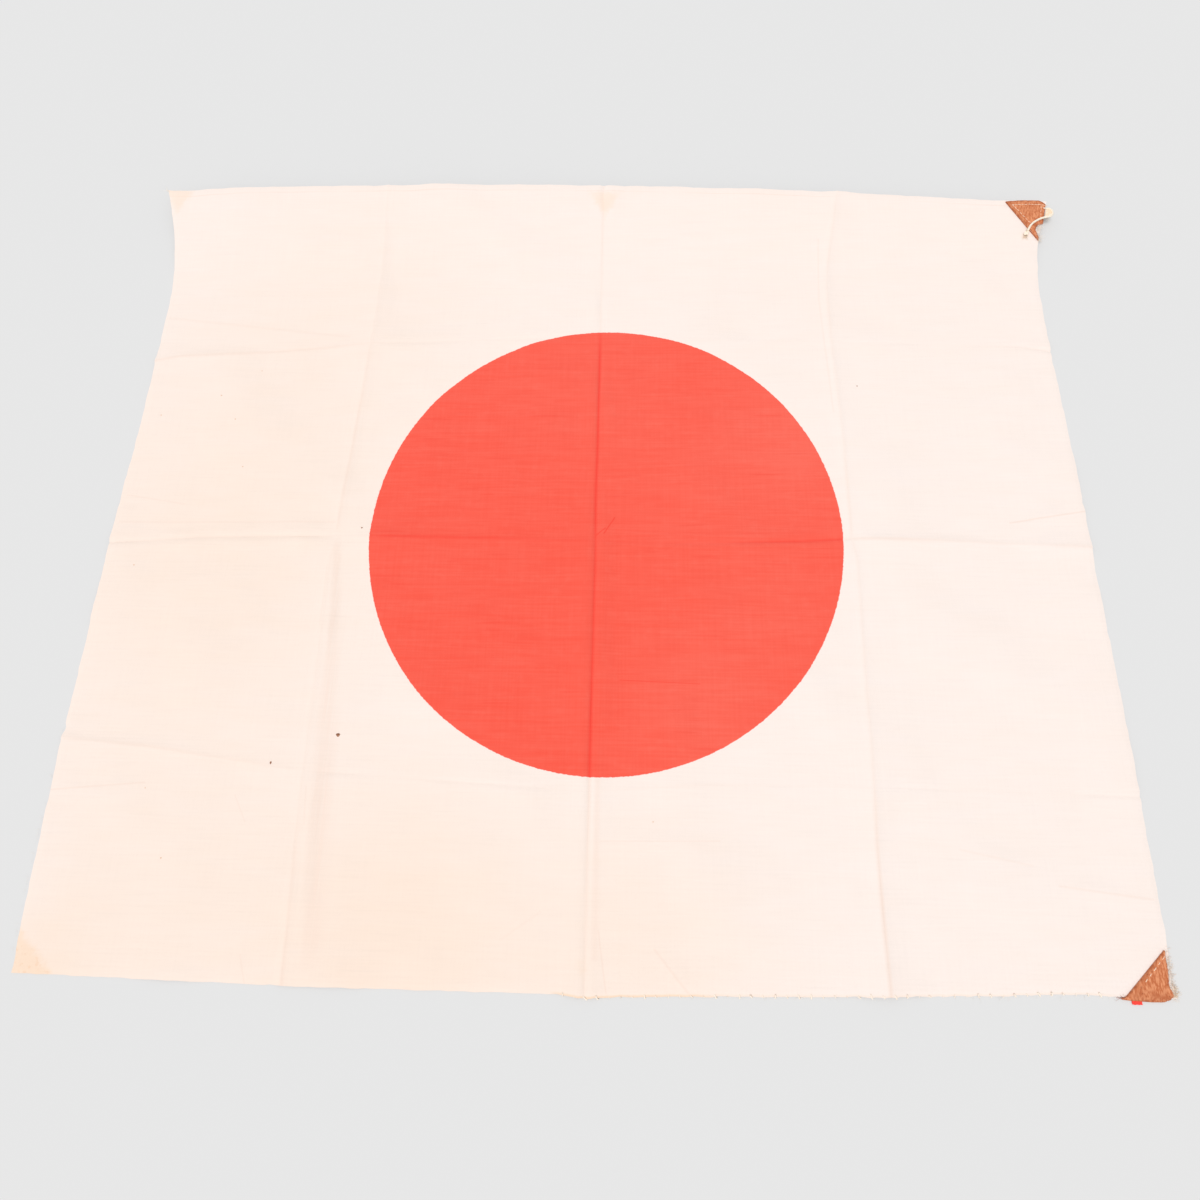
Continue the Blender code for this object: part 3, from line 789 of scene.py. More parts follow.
numbers = np.arange(columns * rows).reshape(rows, columns)
faces = np.stack([numbers[:-1, :-1], numbers[:-1, 1:], numbers[1:, 1:], numbers[1:, :-1]], axis=-1)
cloth_mesh = plain_mesh("flag_sheet", np.stack([X, Y, underside + hem * 0.5], axis=1),
                        faces=faces.reshape(-1, 4).tolist())
cloth_mesh.materials.append(cotton)
for name, values in notes.items():
    store(cloth_mesh, name, values)
flag_sheet = put("flag_sheet", cloth_mesh)
group = flag_sheet.vertex_groups.new(name="cloth_thickness")
for number, weight in enumerate(thin):
    group.add([number], float(weight), "REPLACE")
solid = flag_sheet.modifiers.new("cloth_thickness", "SOLIDIFY")
solid.thickness = CLOTH_THICKNESS * MM
solid.offset = 1.0
solid.vertex_group = group.name
solid.thickness_vertex_group = 0.0
solid.use_even_offset = True
finished_mesh = evaluated_mesh(flag_sheet)
flag_sheet.modifiers.clear()
flag_sheet.vertex_groups.clear()
flag_sheet.data = finished_mesh
finished_mesh.name = "flag_sheet"
finished_mesh.shade_smooth()
finished_mesh.set_sharp_from_angle(angle=math.radians(55))
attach(flag_sheet, "root")
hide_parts("flag_cloth")
print("cloth has", len(finished_mesh.polygons), "faces")

# %% [markdown]
# Small things have to lie on the cloth and on the leather. A search tree over the finished faces answers
# how high the surface is at a place, so nothing floats above it or sinks into it.


# %% Heights of finished surfaces
def surface_of(piece):
    form = bmesh.new()
    form.from_mesh(piece.data)
    tree = BVHTree.FromBMesh(form)
    form.free()
    return tree


def height_at(surfaces, x, y):
    """Height in mm of the highest of some surfaces at a place in mm, and 0 beside them."""
    heights = [0.0]
    for surface in surfaces:
        hit = surface.ray_cast(Vector((x * MM, y * MM, 0.1)), Vector((0, 0, -1)))[0]
        if hit is not None:
            heights.append(hit.z / MM)
    return max(heights)


cloth_surface = surface_of(flag_sheet)
print("cloth is", round(height_at([cloth_surface], 12.7, 100.0), 2), "mm high inside the disc")

# %% [markdown]
# Whatever is closed here is made from rings of points. Faces join each ring to the next one, and a fan of
# faces closes an end. Paths along an edge are read at any distance from their start.

# %% Rings and paths
def ring_faces(rings, count, end, start=None):
    """Faces between rings of points, and fans to a point at the end and at the start."""
    afters = [(point + 1) % count for point in range(count)]
    last = (rings - 1) * count
    faces = []
    for low in range(0, last, count):
        high = low + count
        faces += [(low + point, low + after, high + after, high + point)
                  for point, after in enumerate(afters)]
    faces += [(end, last + point, last + after) for point, after in enumerate(afters)]
    if start is not None:
        faces += [(start, after, point) for point, after in enumerate(afters)]
    return faces


def travelled(points):
    """How far along a path each of its points lies."""
    return np.concatenate([[0], np.cumsum(np.linalg.norm(np.diff(points, axis=0), axis=1))])


def places_on(path, distances):
    """Places at distances along a path."""
    ways = travelled(path)
    return np.stack([np.interp(distances, ways, path[:, side]) for side in (0, 1)], axis=1)


def keep(name, mesh, material):
    """An object that rides on the body, from a finished mesh."""
    mesh.name = name
    mesh.materials.clear()
    mesh.materials.append(material)
    piece = put(name, mesh)
    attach(piece, "root")
    return piece


# %% [markdown]
# A corner patch is a thin leather triangle. Rings of points run from its rim to its middle, and each
# ring is a share of the outline. The outer rings make the cut edge, and the inner ones are pressed down
# a little along the sewing. The torn side gets an uneven rim, and the near patch rolls over its edge.

# %% Leather patches
FAR_PATCH = ((398.6, 337.5), (415.5, 310), (417.9, 306.2), (425.1, 294.6), (426.3, 296.6), (424.4, 299.2),
             (423.4, 303.9), (425.2, 309.6), (429.3, 311.6), (431.8, 312), (435.9, 330.2), (437.0, 333.2),
             (433.6, 336.6), (430.2, 338.2), (414.0, 338.6))
NEAR_PATCH = ((414.7, -321.5), (382.9, -351.3), (379, -353.9), (384, -354.5), (391.5, -354.8), (400, -355.2),
              (408, -355.0), (412.2, -353.6), (414.9, -350.6), (414.4, -348.6), (413.0, -345.2),
              (413.2, -341.6), (414.3, -334), (414.0, -327.4))
FAR_MIDDLE = (419.5, 318.0)
NEAR_MIDDLE = (405.0, -344.0)
FAR_SEWING = (((405.1, 333.3), (421.0, 333.5), (430.0, 333.0), (436.3, 332.2)),
              ((405.6, 332.2), (409.2, 327.3)), ((411.8, 323.7), (418.7, 314.3)),
              ((431.6, 330.4), (430.0, 318.6)))
NEAR_SEWING = (((412.4, -326.6), (397.6, -341.3)),)
LEATHER_LEVEL = 1.03
LEATHER_RINGS = ((0.30, 0.0), (0.05, 0.12), (0.0, 0.5), (0.12, 0.84), (0.4, 1.06), (0.9, 1.18), (1.6, 1.24))
LEATHER_SHARES = (0.9, 0.8, 0.7, 0.6, 0.5, 0.4, 0.3, 0.2, 0.1)
SEWING_DENT = 0.28
OUTLINE_STEP = 0.5
TORN_RAG, CUT_RAG = 0.45, 0.06
DENT_WIDTH = 0.9
ROLL_WIDTH = 2.6
PATCH_CROWN = 1.36
FAR_FROM_RIM = 9.0


def even_outline(outline):
    """The outline with points at even steps, and its corners slightly rounded."""
    corners = np.array(outline + outline[:1], float)
    length = travelled(corners)[-1]
    points = places_on(corners, np.linspace(0, length, round(length / OUTLINE_STEP), endpoint=False))
    return (np.roll(points, 1, axis=0) + 2 * points + np.roll(points, -1, axis=0)) / 4


def distance_to_path(points, path):
    """Distance of each point to the nearest part of a path."""
    nearest = np.full(len(points), np.inf)
    for first, second in zip(path[:-1], path[1:]):
        first, way = np.array(first, float), np.array(second, float) - np.array(first, float)
        share = np.clip(((points - first) @ way) / (way @ way), 0, 1)
        nearest = np.minimum(nearest, np.linalg.norm(points - first - share[:, None] * way, axis=1))
    return nearest


def leather_patch(name, outline, middle, sewing, torn_x, torn_y, roll_start, material):
    """A patch whose rim is torn beyond torn_x and below torn_y. It rolls down nearer than roll_start."""
    rim, middle = even_outline(outline), np.array(middle)
    rng = np.random.default_rng(21)
    order = np.arange(len(rim))
    rag = sum(np.sin(order * step + rng.uniform(0, 6.28)) for step in (0.9, 1.7, 2.9)) / 3
    rag *= np.where((rim[:, 0] > torn_x) & (rim[:, 1] < torn_y), TORN_RAG, CUT_RAG)
    outward = rim - middle
    outward *= 1 + (rag / np.linalg.norm(outward, axis=1))[:, None]
    lengths = np.linalg.norm(outward, axis=1)
    rings = [(1 - inset / lengths, level) for inset, level in LEATHER_RINGS]
    rings += [(rings[-1][0] * share, rings[-1][1]) for share in LEATHER_SHARES]
    points, edge = [], []
    for share, level in rings:
        place = middle + outward * share[:, None]
        dent = sum(np.exp(-(distance_to_path(place, path) / DENT_WIDTH) ** 2) for path in sewing)
        swelling = 0.10 * np.sin(place[:, 0] * 0.9) * np.sin(place[:, 1] * 0.7) + 0.12 * (1 - share)
        z = lift(place[:, 1]) + LEATHER_LEVEL + level - smooth((roll_start - place[:, 1]) / ROLL_WIDTH)
        z += (level > 0.8) * (swelling - SEWING_DENT * dent)
        points += np.column_stack([place, z]).tolist()
        edge += ((1 - share) * lengths).tolist()
    base = lift(middle[1]) + LEATHER_LEVEL
    faces = ring_faces(len(rings), len(rim), len(points) + 1, len(points))
    mesh = plain_mesh(name, points + [[*middle, base], [*middle, base + PATCH_CROWN]], faces=faces)
    store(mesh, "from_rim", edge + [FAR_FROM_RIM, FAR_FROM_RIM])
    mesh.shade_smooth()
    return keep(name, mesh, material)


# %% [markdown]
# Leather is warm tan with a fine directional grain, dark pores, a darker rubbed rim and some grime towards
# the flag's outer edge. The grain is noise that is stretched along the hide, and the pores are a Voronoi
# pattern kept to its small centres. Both also bend the light a little through bump, because the real
# surface is cracked and dry.


# %% Leather finish
LEATHER_TAN = (0.520, 0.140, 0.046, 1)
LEATHER_LIGHT = (0.755, 0.300, 0.142, 1)
LEATHER_DARK = (0.240, 0.052, 0.018, 1)


def leather_finish(name, grain_turn, depth, rim_depth, grime_from, grime_to):
    """Worn leather. Grime deepens between two places in y, given in mm."""
    recipe = Recipe(name, roughness=0.62, specular=0.30)
    place = recipe.place()
    grain = recipe.streaks(place, (1000.0, 300.0, 600.0), 4.0, grain_turn)
    cloudy = recipe.noise(place, 190.0, 3.0)
    spots = recipe.fade(recipe.noise(place, 520.0, 2.0), 0.62, 0.74)
    pores = recipe.add("ShaderNodeTexVoronoi", {"Vector": place, "Scale": 620.0})["Distance"]
    rim = recipe.fade(recipe.note("from_rim"), 2.6, 0.4)
    away = recipe.add("ShaderNodeSeparateXYZ", {"Vector": place})["Y"]
    grime = recipe.fade(away, grime_from * MM, grime_to * MM)
    grime = recipe.times(grime, recipe.fade(cloudy, 0.36, 0.60))
    colour = recipe.mix(recipe.fade(grain, 0.36, 0.64), LEATHER_TAN, LEATHER_LIGHT)
    colour = recipe.tint(colour, recipe.fade(cloudy, 0.50, 0.72), depth, LEATHER_TAN)
    pore = recipe.fade(pores, 0.22, 0.05)
    for where, share in ((spots, 0.55), (pore, 0.30), (rim, rim_depth), (grime, 0.22)):
        colour = recipe.tint(colour, where, share, LEATHER_DARK)
    normal = recipe.bump(grain, 0.22 * MM, 0.8)
    return recipe.finish(colour, recipe.bump(pores, 0.15 * MM, 0.4, normal))


far_leather = leather_patch("far_leather", FAR_PATCH, FAR_MIDDLE, FAR_SEWING, 422.5, 312.5, -math.inf,
                            leather_finish("far_worn_leather", math.radians(-40), 0.9, 0.40, 330.0, 337.0))
near_leather = leather_patch("near_leather", NEAR_PATCH, NEAR_MIDDLE, NEAR_SEWING, 409.5, math.inf, -351.4,
                             leather_finish("near_worn_leather", math.radians(20), 0.6, 0.28, -344.0, -354.0))
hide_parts("far_corner_patch")
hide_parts("near_corner_patch")
surfaces = [cloth_surface, surface_of(far_leather), surface_of(near_leather)]
print("leather patches", len(far_leather.data.polygons), "and", len(near_leather.data.polygons), "faces")

# %% [markdown]
# Threads, cords and fibres are all tubes. This helper sweeps a ring of points along a route. Its side
# direction is carried from point to point, so the tube doesn't twist by itself. Lobes on the ring, turned
# steadily along the way, give a cord its strands.


# %% Tubes
def tube_mesh(name, route, radius, sides, lobes=0, lobe_depth=0.0, turns_per_mm=0.0):
    """A closed tube along a route in mm. The radius may change along the way."""
    route = np.array(route, float)
    ways = np.gradient(route, axis=0)
    ways /= np.linalg.norm(ways, axis=1)[:, None]
    radii = np.broadcast_to(np.asarray(radius, float), len(route))
    angles = np.arange(sides) * 2 * math.pi / sides
    side = np.cross(ways[0], (0.13, 0.21, 0.97))
    rings = []
    for point, way, size, distance in zip(route, ways, radii, travelled(route)):
        side = side - (side @ way) * way
        side /= np.linalg.norm(side)
        up = np.cross(way, side)
        turned = angles + distance * turns_per_mm * 2 * math.pi
        reach = size * (1 + lobe_depth * (np.cos(lobes * angles) - 1))
        rings.append(point + reach[:, None] * (np.cos(turned)[:, None] * side + np.sin(turned)[:, None] * up))
    points = np.concatenate([*rings, route[:1], route[-1:]])
    mesh = plain_mesh(name, points, faces=ring_faces(len(route), sides, len(points) - 1, len(points) - 2))
    mesh.shade_smooth()
    return mesh


def smooth_route(route, count):
    """Points on a smooth curve through a route's own points."""
    knots = np.array(route, float)
    knots = np.concatenate([[2 * knots[0] - knots[1]], knots, [2 * knots[-1] - knots[-2]]])
    found = []
    for place in np.linspace(0, len(route) - 1, count):
        which = min(int(place), len(route) - 2)
        share = place - which
        a, b, c, d = knots[which:which + 4]
        found.append(0.5 * (2 * b + (c - a) * share + (2 * a - 5 * b + 4 * c - d) * share ** 2
                            + (3 * b - a - 3 * c + d) * share ** 3))
    return np.array(found)


# %% [markdown]
# What is left of the tie is a soft cotton cord. It comes out beside the leather, bends round in a small
# loop, crosses the patch and ends in a knot. Its route has the same points as the cord in the solids,
# and three lobes that turn along it give the strands. A short root, thinning and sinking as it goes in
# under the leather, joins it to the patch.

# %% Tie cord
TIE_ROUTE = ((436.5, 328.6, 1.0), (439.0, 328.3, 1.1), (441.0, 326.2, 1.4), (441.2, 322.6, 1.8),
             (439.2, 319.4, 2.4), (435.6, 317.9, 2.9), (431.0, 316.8, 3.0), (426.2, 314.8, 3.0),
             (421.6, 311.8, 3.0), (418.4, 308.6, 3.1), (416.5, 305.4, 2.7), (415.7, 303.9, 2.2))
TIE_DIAMETER = 2.1
TIE_ROOT = ((437.1, 328.75, 1.02), (436.2, 328.7, 1.0), (435.0, 329.0, 0.9), (433.8, 329.6, 0.8),
            (432.8, 330.2, 0.7))
TIE_ROOT_RADII = (1.00, 1.02, 0.92, 0.75, 0.55)
TIE_RINGS = 130
TIE_SIDES = 24
TIE_STRANDS = (3, 0.13, 0.19)
CREAM = (0.930, 0.890, 0.790, 1)
PEACH = (0.910, 0.770, 0.600, 1)


def thread_finish(name, light, dark, size):
    """Matt cotton thread: two tones in short streaks, with fine fibres in the bump."""
    recipe = Recipe(name, roughness=0.9, specular=0.15)
    streak = recipe.streaks(recipe.place(), (size, size, size * 0.5), 3.0)
    colour = recipe.mix(recipe.fade(streak, 0.34, 0.68), dark, light)
    return recipe.finish(colour, recipe.bump(streak, 0.10 * MM, 0.6))


def on_cloth_level(route):
    """Route points whose heights are counted from the cloth's upper side."""
    return np.array([(x, y, float(lift(y)) + CLOTH_THICKNESS + up) for x, y, up in route])


tie_route = smooth_route(on_cloth_level(TIE_ROUTE), TIE_RINGS)
tie_cotton = thread_finish("tie_cotton", CREAM, PEACH, 900.0)
tie_mesh = tube_mesh("tie", tie_route, TIE_DIAMETER / 2, TIE_SIDES, *TIE_STRANDS)
tie = keep("tie", tie_mesh, tie_cotton)
root_mesh = tube_mesh("tie_root", on_cloth_level(TIE_ROOT), TIE_ROOT_RADII, TIE_SIDES, *TIE_STRANDS)
tie_root = keep("tie_root", root_mesh, tie_cotton)
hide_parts("tie_cord")

# %% [markdown]
# Inside the loop the old cotton has matted into a thin web. It is one small wavy sheet between the cord
# and the leather's edge, held by both.

# %% Matted web in the loop
WEB_POINTS = 46
WEB_EDGE = ((433.6, 318.4, 1.7), (434.4, 322.0, 1.7), (435.3, 325.6, 1.7), (436.0, 328.2, 1.7))
WEB_THICKNESS = 0.5
WEB_RINGS = (1.0, 0.8, 0.6, 0.4, 0.2)


def web_mesh():
    rim = np.concatenate([tie_route[:WEB_POINTS], on_cloth_level(WEB_EDGE)])
    middle = rim.mean(axis=0)
    rings = []
    for share in WEB_RINGS:
        ring = middle + (rim - middle) * share
        ring[:, 2] += 0.12 * np.sin(ring[:, 0] * 3.1) * np.sin(ring[:, 1] * 2.3)
        rings.append(ring)
    points = np.concatenate([*rings, middle[None]])
    faces = ring_faces(len(rings), len(rim), len(points) - 1)
    faces = [face[:1] + face[:0:-1] for face in faces]
    form = bmesh.new()
    form.from_mesh(plain_mesh("web_sheet", points, faces=faces))
    bmesh.ops.solidify(form, geom=form.faces[:], thickness=WEB_THICKNESS * MM)
    bmesh.ops.recalc_face_normals(form, faces=form.faces[:])
    mesh = mesh_from("web", form)
    mesh.shade_smooth()
    return mesh


matted_cotton = thread_finish("matted_cotton", (0.95, 0.77, 0.60, 1), (0.93, 0.68, 0.49, 1), 600.0)
web = keep("tie_web", web_mesh(), matted_cotton)

# %% [markdown]
# The knot is an overhand knot that was pulled tight. A trefoil curve, pressed flat, has just its
# crossings. It stands at the end of the cord and points the way the cord was going.

# %% Knot
KNOT_GAP = 3.0
KNOT_STRAND = 0.95
KNOT_RINGS = 90
KNOT_OPENING = 0.5
KNOT_LEVEL = 2.05
KNOT_SCALE = (0.46, 0.66, 0.62)


def knot_route(centre, way):
    turn = np.linspace(KNOT_OPENING, 2 * math.pi - KNOT_OPENING, KNOT_RINGS)
    along_way = (np.cos(turn) - 2 * np.cos(2 * turn)) * KNOT_SCALE[1]
    across = (np.sin(turn) + 2 * np.sin(2 * turn)) * KNOT_SCALE[0]
    up = -np.sin(3 * turn) * KNOT_SCALE[2]
    side = np.array((-way[1], way[0], 0))
    return centre + along_way[:, None] * way + across[:, None] * side + up[:, None] * np.array((0, 0, 1))


tie_way = (tie_route[-1] - tie_route[-3]) * (1, 1, 0)
tie_way /= np.linalg.norm(tie_way)
knot_centre = tie_route[-1] + tie_way * KNOT_GAP
knot_centre[2] = float(lift(knot_centre[1])) + CLOTH_THICKNESS + KNOT_LEVEL
knot_cotton = thread_finish("frayed_cotton", (0.95, 0.87, 0.75, 1), (0.92, 0.77, 0.60, 1), 700.0)
knot = keep("tie_end_knot", tube_mesh("knot", knot_route(knot_centre, tie_way), KNOT_STRAND, 12),
            knot_cotton)
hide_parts("tie_knot")

# %% [markdown]
# Sewing and loose fibres repeat one small form many times, which is what Geometry Nodes are for. Two
# trees do it all. One sets a form along a path at an even pitch. The other sets a form at scattered
# points that carry their own turn and size. Both end in real faces with a material.


# %% Geometry Nodes trees
class Tree(Nodes):
    """A Geometry Nodes tree that is being put together, node by node."""

    def __init__(self, name, inputs):
        self.tree = bpy.data.node_groups.new(name, "GeometryNodeTree")
        sockets = self.tree.interface
        sockets.new_socket("Geometry", in_out="INPUT", socket_type="NodeSocketGeometry")
        for title, kind in inputs:
            sockets.new_socket(title, in_out="INPUT", socket_type=kind)
        sockets.new_socket("Geometry", in_out="OUTPUT", socket_type="NodeSocketGeometry")
        self.given = self.add("NodeGroupInput")

    def chance(self, shift):
        """A random number from -1 to 1 that is fixed by the tree's seed."""
        seed = self.maths("ADD", self.given["Seed"], float(shift))
        return self.add("FunctionNodeRandomValue", {2: -1.0, 3: 1.0, "Seed": seed}, data_type="FLOAT")[1]

    def unevenly(self, rotation, size):
        """A turn and a size, each made uneven by the tree's own inputs."""
        parts = [self.times(self.chance(shift), self.given["Turn"]) for shift in (1, 2, 3)]
        turn = self.add("ShaderNodeCombineXYZ", dict(zip("XYZ", parts)))[0]
        turn = self.add("FunctionNodeEulerToRotation", {0: turn})[0]
        turned = self.add("FunctionNodeRotateRotation", {0: rotation, 1: turn}, rotation_space="LOCAL")[0]
        growth = self.maths("MULTIPLY_ADD", self.chance(4), self.given["Unevenness"], 1.0)
        return turned, self.scaled(size, growth)

    def end(self, points, rotation, size):
        form = self.add("GeometryNodeObjectInfo", {"Object": self.given["Form"]})["Geometry"]
        turned, scaled = self.unevenly(rotation, size)
        copies = self.add("GeometryNodeInstanceOnPoints", {"Points": points, "Instance": form,
                                                           "Rotation": turned, "Scale": scaled})[0]
        whole = self.add("GeometryNodeRealizeInstances", {"Geometry": copies})[0]
        painted = {"Geometry": whole, "Material": self.given["Finish"]}
        self.add("NodeGroupOutput", {"Geometry": self.add("GeometryNodeSetMaterial", painted)[0]})
        return self.tree


SHARED_INPUTS = (("Form", "NodeSocketObject"), ("Finish", "NodeSocketMaterial"),
                 ("Unevenness", "NodeSocketFloat"), ("Turn", "NodeSocketFloat"), ("Seed", "NodeSocketInt"))


def scatter_tree():
    tree = Tree("form_at_each_point", SHARED_INPUTS)
    turn, size = (tree.add("GeometryNodeInputNamedAttribute", {"Name": name}, data_type="FLOAT_VECTOR")[0]
                  for name in ("turn", "size"))
    rotation = tree.add("FunctionNodeEulerToRotation", {0: turn})[0]
    return tree.end(tree.given["Geometry"], rotation, size)


def sewing_tree():
    tree = Tree("form_along_a_path", SHARED_INPUTS + (("Pitch", "NodeSocketFloat"),))
    curve = tree.add("GeometryNodeMeshToCurve", {"Mesh": tree.given["Geometry"]})[0]
    pitch = tree.given["Pitch"]
    even = tree.add("GeometryNodeResampleCurve", {"Curve": curve, "Length": pitch}, mode="LENGTH")[0]
    way = tree.add("GeometryNodeInputTangent")[0]
    rotation = tree.add("FunctionNodeAlignRotationToVector", {"Vector": way}, axis="X", pivot_axis="AUTO")[0]
    return tree.end(even, rotation, (1.0, 1.0, 1.0))


def grown(name, mesh, tree, slot, **settings):
    """Runs a tree on a mesh, and keeps the plain mesh that comes out."""
    carrier = put("carrier", mesh)
    modifier = carrier.modifiers.new("tree", "NODES")
    modifier.node_group = tree
    names = {socket.name: socket.identifier for socket in tree.interface.items_tree
             if socket.in_out == "INPUT"}
    for title, value in settings.items():
        modifier[names[title.capitalize()]] = value
    made = evaluated_mesh(carrier)
    bpy.data.objects.remove(carrier)
    made.shade_smooth()
    piece = keep(name, made, settings["finish"])
    print(name, "has", len(made.polygons), "faces")
    return piece


def form_object(name, mesh):
    """A form that trees repeat. It is linked nowhere, so it isn't a piece."""
    return bpy.data.objects.new(name, mesh)


scatter = scatter_tree()
sew = sewing_tree()

# %% [markdown]
# The patches are sewn with pale thread. Most of the stitches on the far patch nearly touch. On the near
# patch they have worn to short dashes. Each stitch is a small rod whose ends dip into the leather.

# %% Stitches
STITCH_PITCH = {"far": 3.0, "near": 4.4}
STITCH_HALF_LENGTH = 1.45
STITCH_RADIUS = 0.30


def stitch_form():
    share = np.linspace(-1, 1, 7)
    route = [(place * STITCH_HALF_LENGTH, 0, 0.18 - 0.40 * place ** 4) for place in share]
    return form_object("stitch_form", tube_mesh("stitch", route, STITCH_RADIUS * (1 - 0.35 * share ** 4), 8))


def edge_run(points):
    """Points in mm, joined by edges, for a tree to follow."""
    return plain_mesh("path", points, edges=[(number, number + 1) for number in range(len(points) - 1)])


def path_mesh(path):
    """A path in mm laid on the finished surfaces."""
    corners = np.array(path, float)
    length = travelled(corners)[-1]
    places = places_on(corners, np.linspace(0, length, max(2, round(length))))
    return edge_run([(x, y, height_at(surfaces, x, y)) for x, y in places])


pale_thread = thread_finish("pale_sewing_thread", (0.92, 0.70, 0.53, 1), (0.87, 0.54, 0.36, 1), 1500.0)
stitch = stitch_form()
sewing_pieces = []
for side, paths in (("far", FAR_SEWING), ("near", NEAR_SEWING)):
    for number, path in enumerate(paths):
        sewing_pieces.append(grown(f"{side}_sewing_{number}", path_mesh(path), sew, "cotton",
                                   form=stitch, finish=pale_thread, unevenness=0.18, turn=0.12,
                                   seed=number, pitch=STITCH_PITCH[side] * MM))

# %% [markdown]
# Cotton that is torn or unhemmed frays. A fringe is a set of roots along an edge, each with its own
# direction and length. The fibre itself is a thin bent tube with few sides, because hundreds are made.

# %% Loose fibres
FIBRE_BEND = ((0, 0, 0), (0.22, 0.02, 0.03), (0.45, 0.07, 0.04), (0.68, 0.16, 0.025), (0.86, 0.27, 0.01),
              (1.0, 0.40, 0.0))
FIBRE_RADIUS = 0.020
ROOT_SPREAD = 0.35
FIBRE_TONES = {
    "white": ((0.90, 0.86, 0.80, 1), (0.88, 0.78, 0.70, 1), 900.0),
    "pale": ((0.90, 0.76, 0.64, 1), (0.84, 0.60, 0.44, 1), 900.0),
    "cream": (CREAM, PEACH, 900.0),
    "peach": ((0.92, 0.80, 0.66, 1), (0.90, 0.70, 0.53, 1), 900.0),
    "tan": ((0.91, 0.78, 0.63, 1), (0.87, 0.64, 0.45, 1), 700.0),
    "dark": ((0.62, 0.24, 0.14, 1), (0.36, 0.10, 0.06, 1), 900.0),
}
FRINGES = (
    ("near_side", ((413.2, -323.5), (413.6, -334.0), (412.6, -342.0), (413.4, -348.0)),
     230, 10, 70, (1.8, 4.2), "white"),
    ("near_side_edge", ((415.2, -321.0), (415.2, -334.0), (414.8, -342.0), (414.4, -351.6)),
     210, 5, 80, (1.4, 4.0), "pale"),
    ("near_corner", ((414.0, -346.0), (415.4, -349.5), (413.0, -352.6)), 80, 15, 50, (2.2, 5.0), "tan"),
    ("near_tip", ((383.6, -352.0), (380.2, -353.2)), 14, 176, 16, (2.0, 5.0), "dark"),
    ("far_bite", ((429.0, 311.9), (425.0, 309.4), (423.3, 303.9), (424.6, 299.0), (425.6, 295.4)),
     210, -8, 70, (2.2, 5.4), "white"),
    ("far_bite_edge", ((431.0, 310.0), (428.4, 304.0), (426.5, 296.0)), 50, -10, 80, (0.8, 2.2), "white"),
    ("far_tip", ((426.2, 296.6), (425.0, 294.6)), 22, -60, 40, (1.5, 3.6), "tan"),
    ("tie_loop", ((437.0, 327.0), (436.4, 323.6), (435.4, 319.6)), 90, -6, 60, (1.6, 3.6), "peach"),
    ("knot_end", ((415.6, 302.6), (413.6, 299.6)), 120, -112, 60, (2.2, 5.4), "peach"),
    ("tie_end", ((420.6, 309.8), (417.2, 306.2), (415.2, 302.6)), 150, -125, 50, (1.8, 4.0), "cream"),
    ("far_left_thread", ((-435.8, 358.0), (-436.8, 359.4)), 7, 150, 20, (4.0, 8.5), "white"),
    ("near_hem", ((0.0, -360.6), (120.0, -358.4), (220.0, -356.2), (376.0, -352.4)),
     90, -85, 60, (1.2, 3.2), "white"),
    ("left_side", ((-419.0, -343.0), (-420.4, -300.0), (-420.8, -180.0)), 60, 180, 40, (1.2, 2.6), "white"),
)


def scatter_points(points, turns, sizes):
    """Points in mm that carry the turn and size of what will stand there."""
    mesh = plain_mesh("roots", points)
    store(mesh, "turn", turns, "FLOAT_VECTOR")
    store(mesh, "size", sizes, "FLOAT_VECTOR")
    return mesh


def fringe_points(edge, count, way, spread, lengths, seed):
    """Roots of fibres along an edge, with their turns and sizes."""
    rng = np.random.default_rng(seed)
    corners = np.array(edge, float)
    roots = places_on(corners, rng.uniform(0, travelled(corners)[-1], count))
    xs = roots[:, 0] + rng.normal(0, ROOT_SPREAD, count)
    ys = roots[:, 1] + rng.normal(0, ROOT_SPREAD, count)
    points = []
    for x, y in zip(xs, ys):
        low = float(lift(y))
        layer = max(height_at(surfaces, x, y) - low, 0.5)
        points.append((x, y, low + layer * rng.uniform(0.5, 0.96) + 0.15))
    yaw = np.radians(way + rng.normal(0, spread / 2, count))
    pitch = np.radians(rng.uniform(-2, 7, count))
    roll = rng.choice((-0.12, 0.12, math.pi - 0.12, math.pi + 0.12), count)
    size = rng.uniform(*lengths, count)
    sizes = np.column_stack([size, size * rng.uniform(0.5, 1.4, count), size * 0.8])
    return scatter_points(points, np.column_stack([roll, pitch, yaw]), sizes)


fibre = form_object("fibre_form", tube_mesh("fibre", FIBRE_BEND, FIBRE_RADIUS * np.linspace(1, 0.5, 6), 4))
fibre_finishes = {name: thread_finish(f"{name}_fibre", light, dark, size)
                  for name, (light, dark, size) in FIBRE_TONES.items()}
fringes = {}
for number, (name, edge, count, way, spread, lengths, colour) in enumerate(FRINGES):
    fringes[name] = grown(f"{name}_fibres", fringe_points(edge, count, way, spread, lengths, 40 + number),
                          scatter, "cotton", form=fibre, finish=fibre_finishes[colour], unevenness=0.25,
                          turn=0.14, seed=number)

# %% [markdown]
# The right half of the near hem is sewn over by hand in yellowed thread. Each stitch is a small hook that
# starts on top of the hem, goes over its edge and ends under it.

# %% Sewn-over hem
HEM_STITCH_PITCH = 8.2
HEM_STITCH_RADIUS = 0.40
HEM_STITCH_ROUTE = ((-0.7, 1.5, 0.20), (-0.5, 0.9, 0.45), (-0.2, 0.3, 0.48), (0.1, -0.35, 0.18),
                    (0.3, -0.60, -0.16), (0.4, -0.3, -0.34))
HEM_SEWN_FROM, HEM_SEWN_TO = 1.93, 3.74


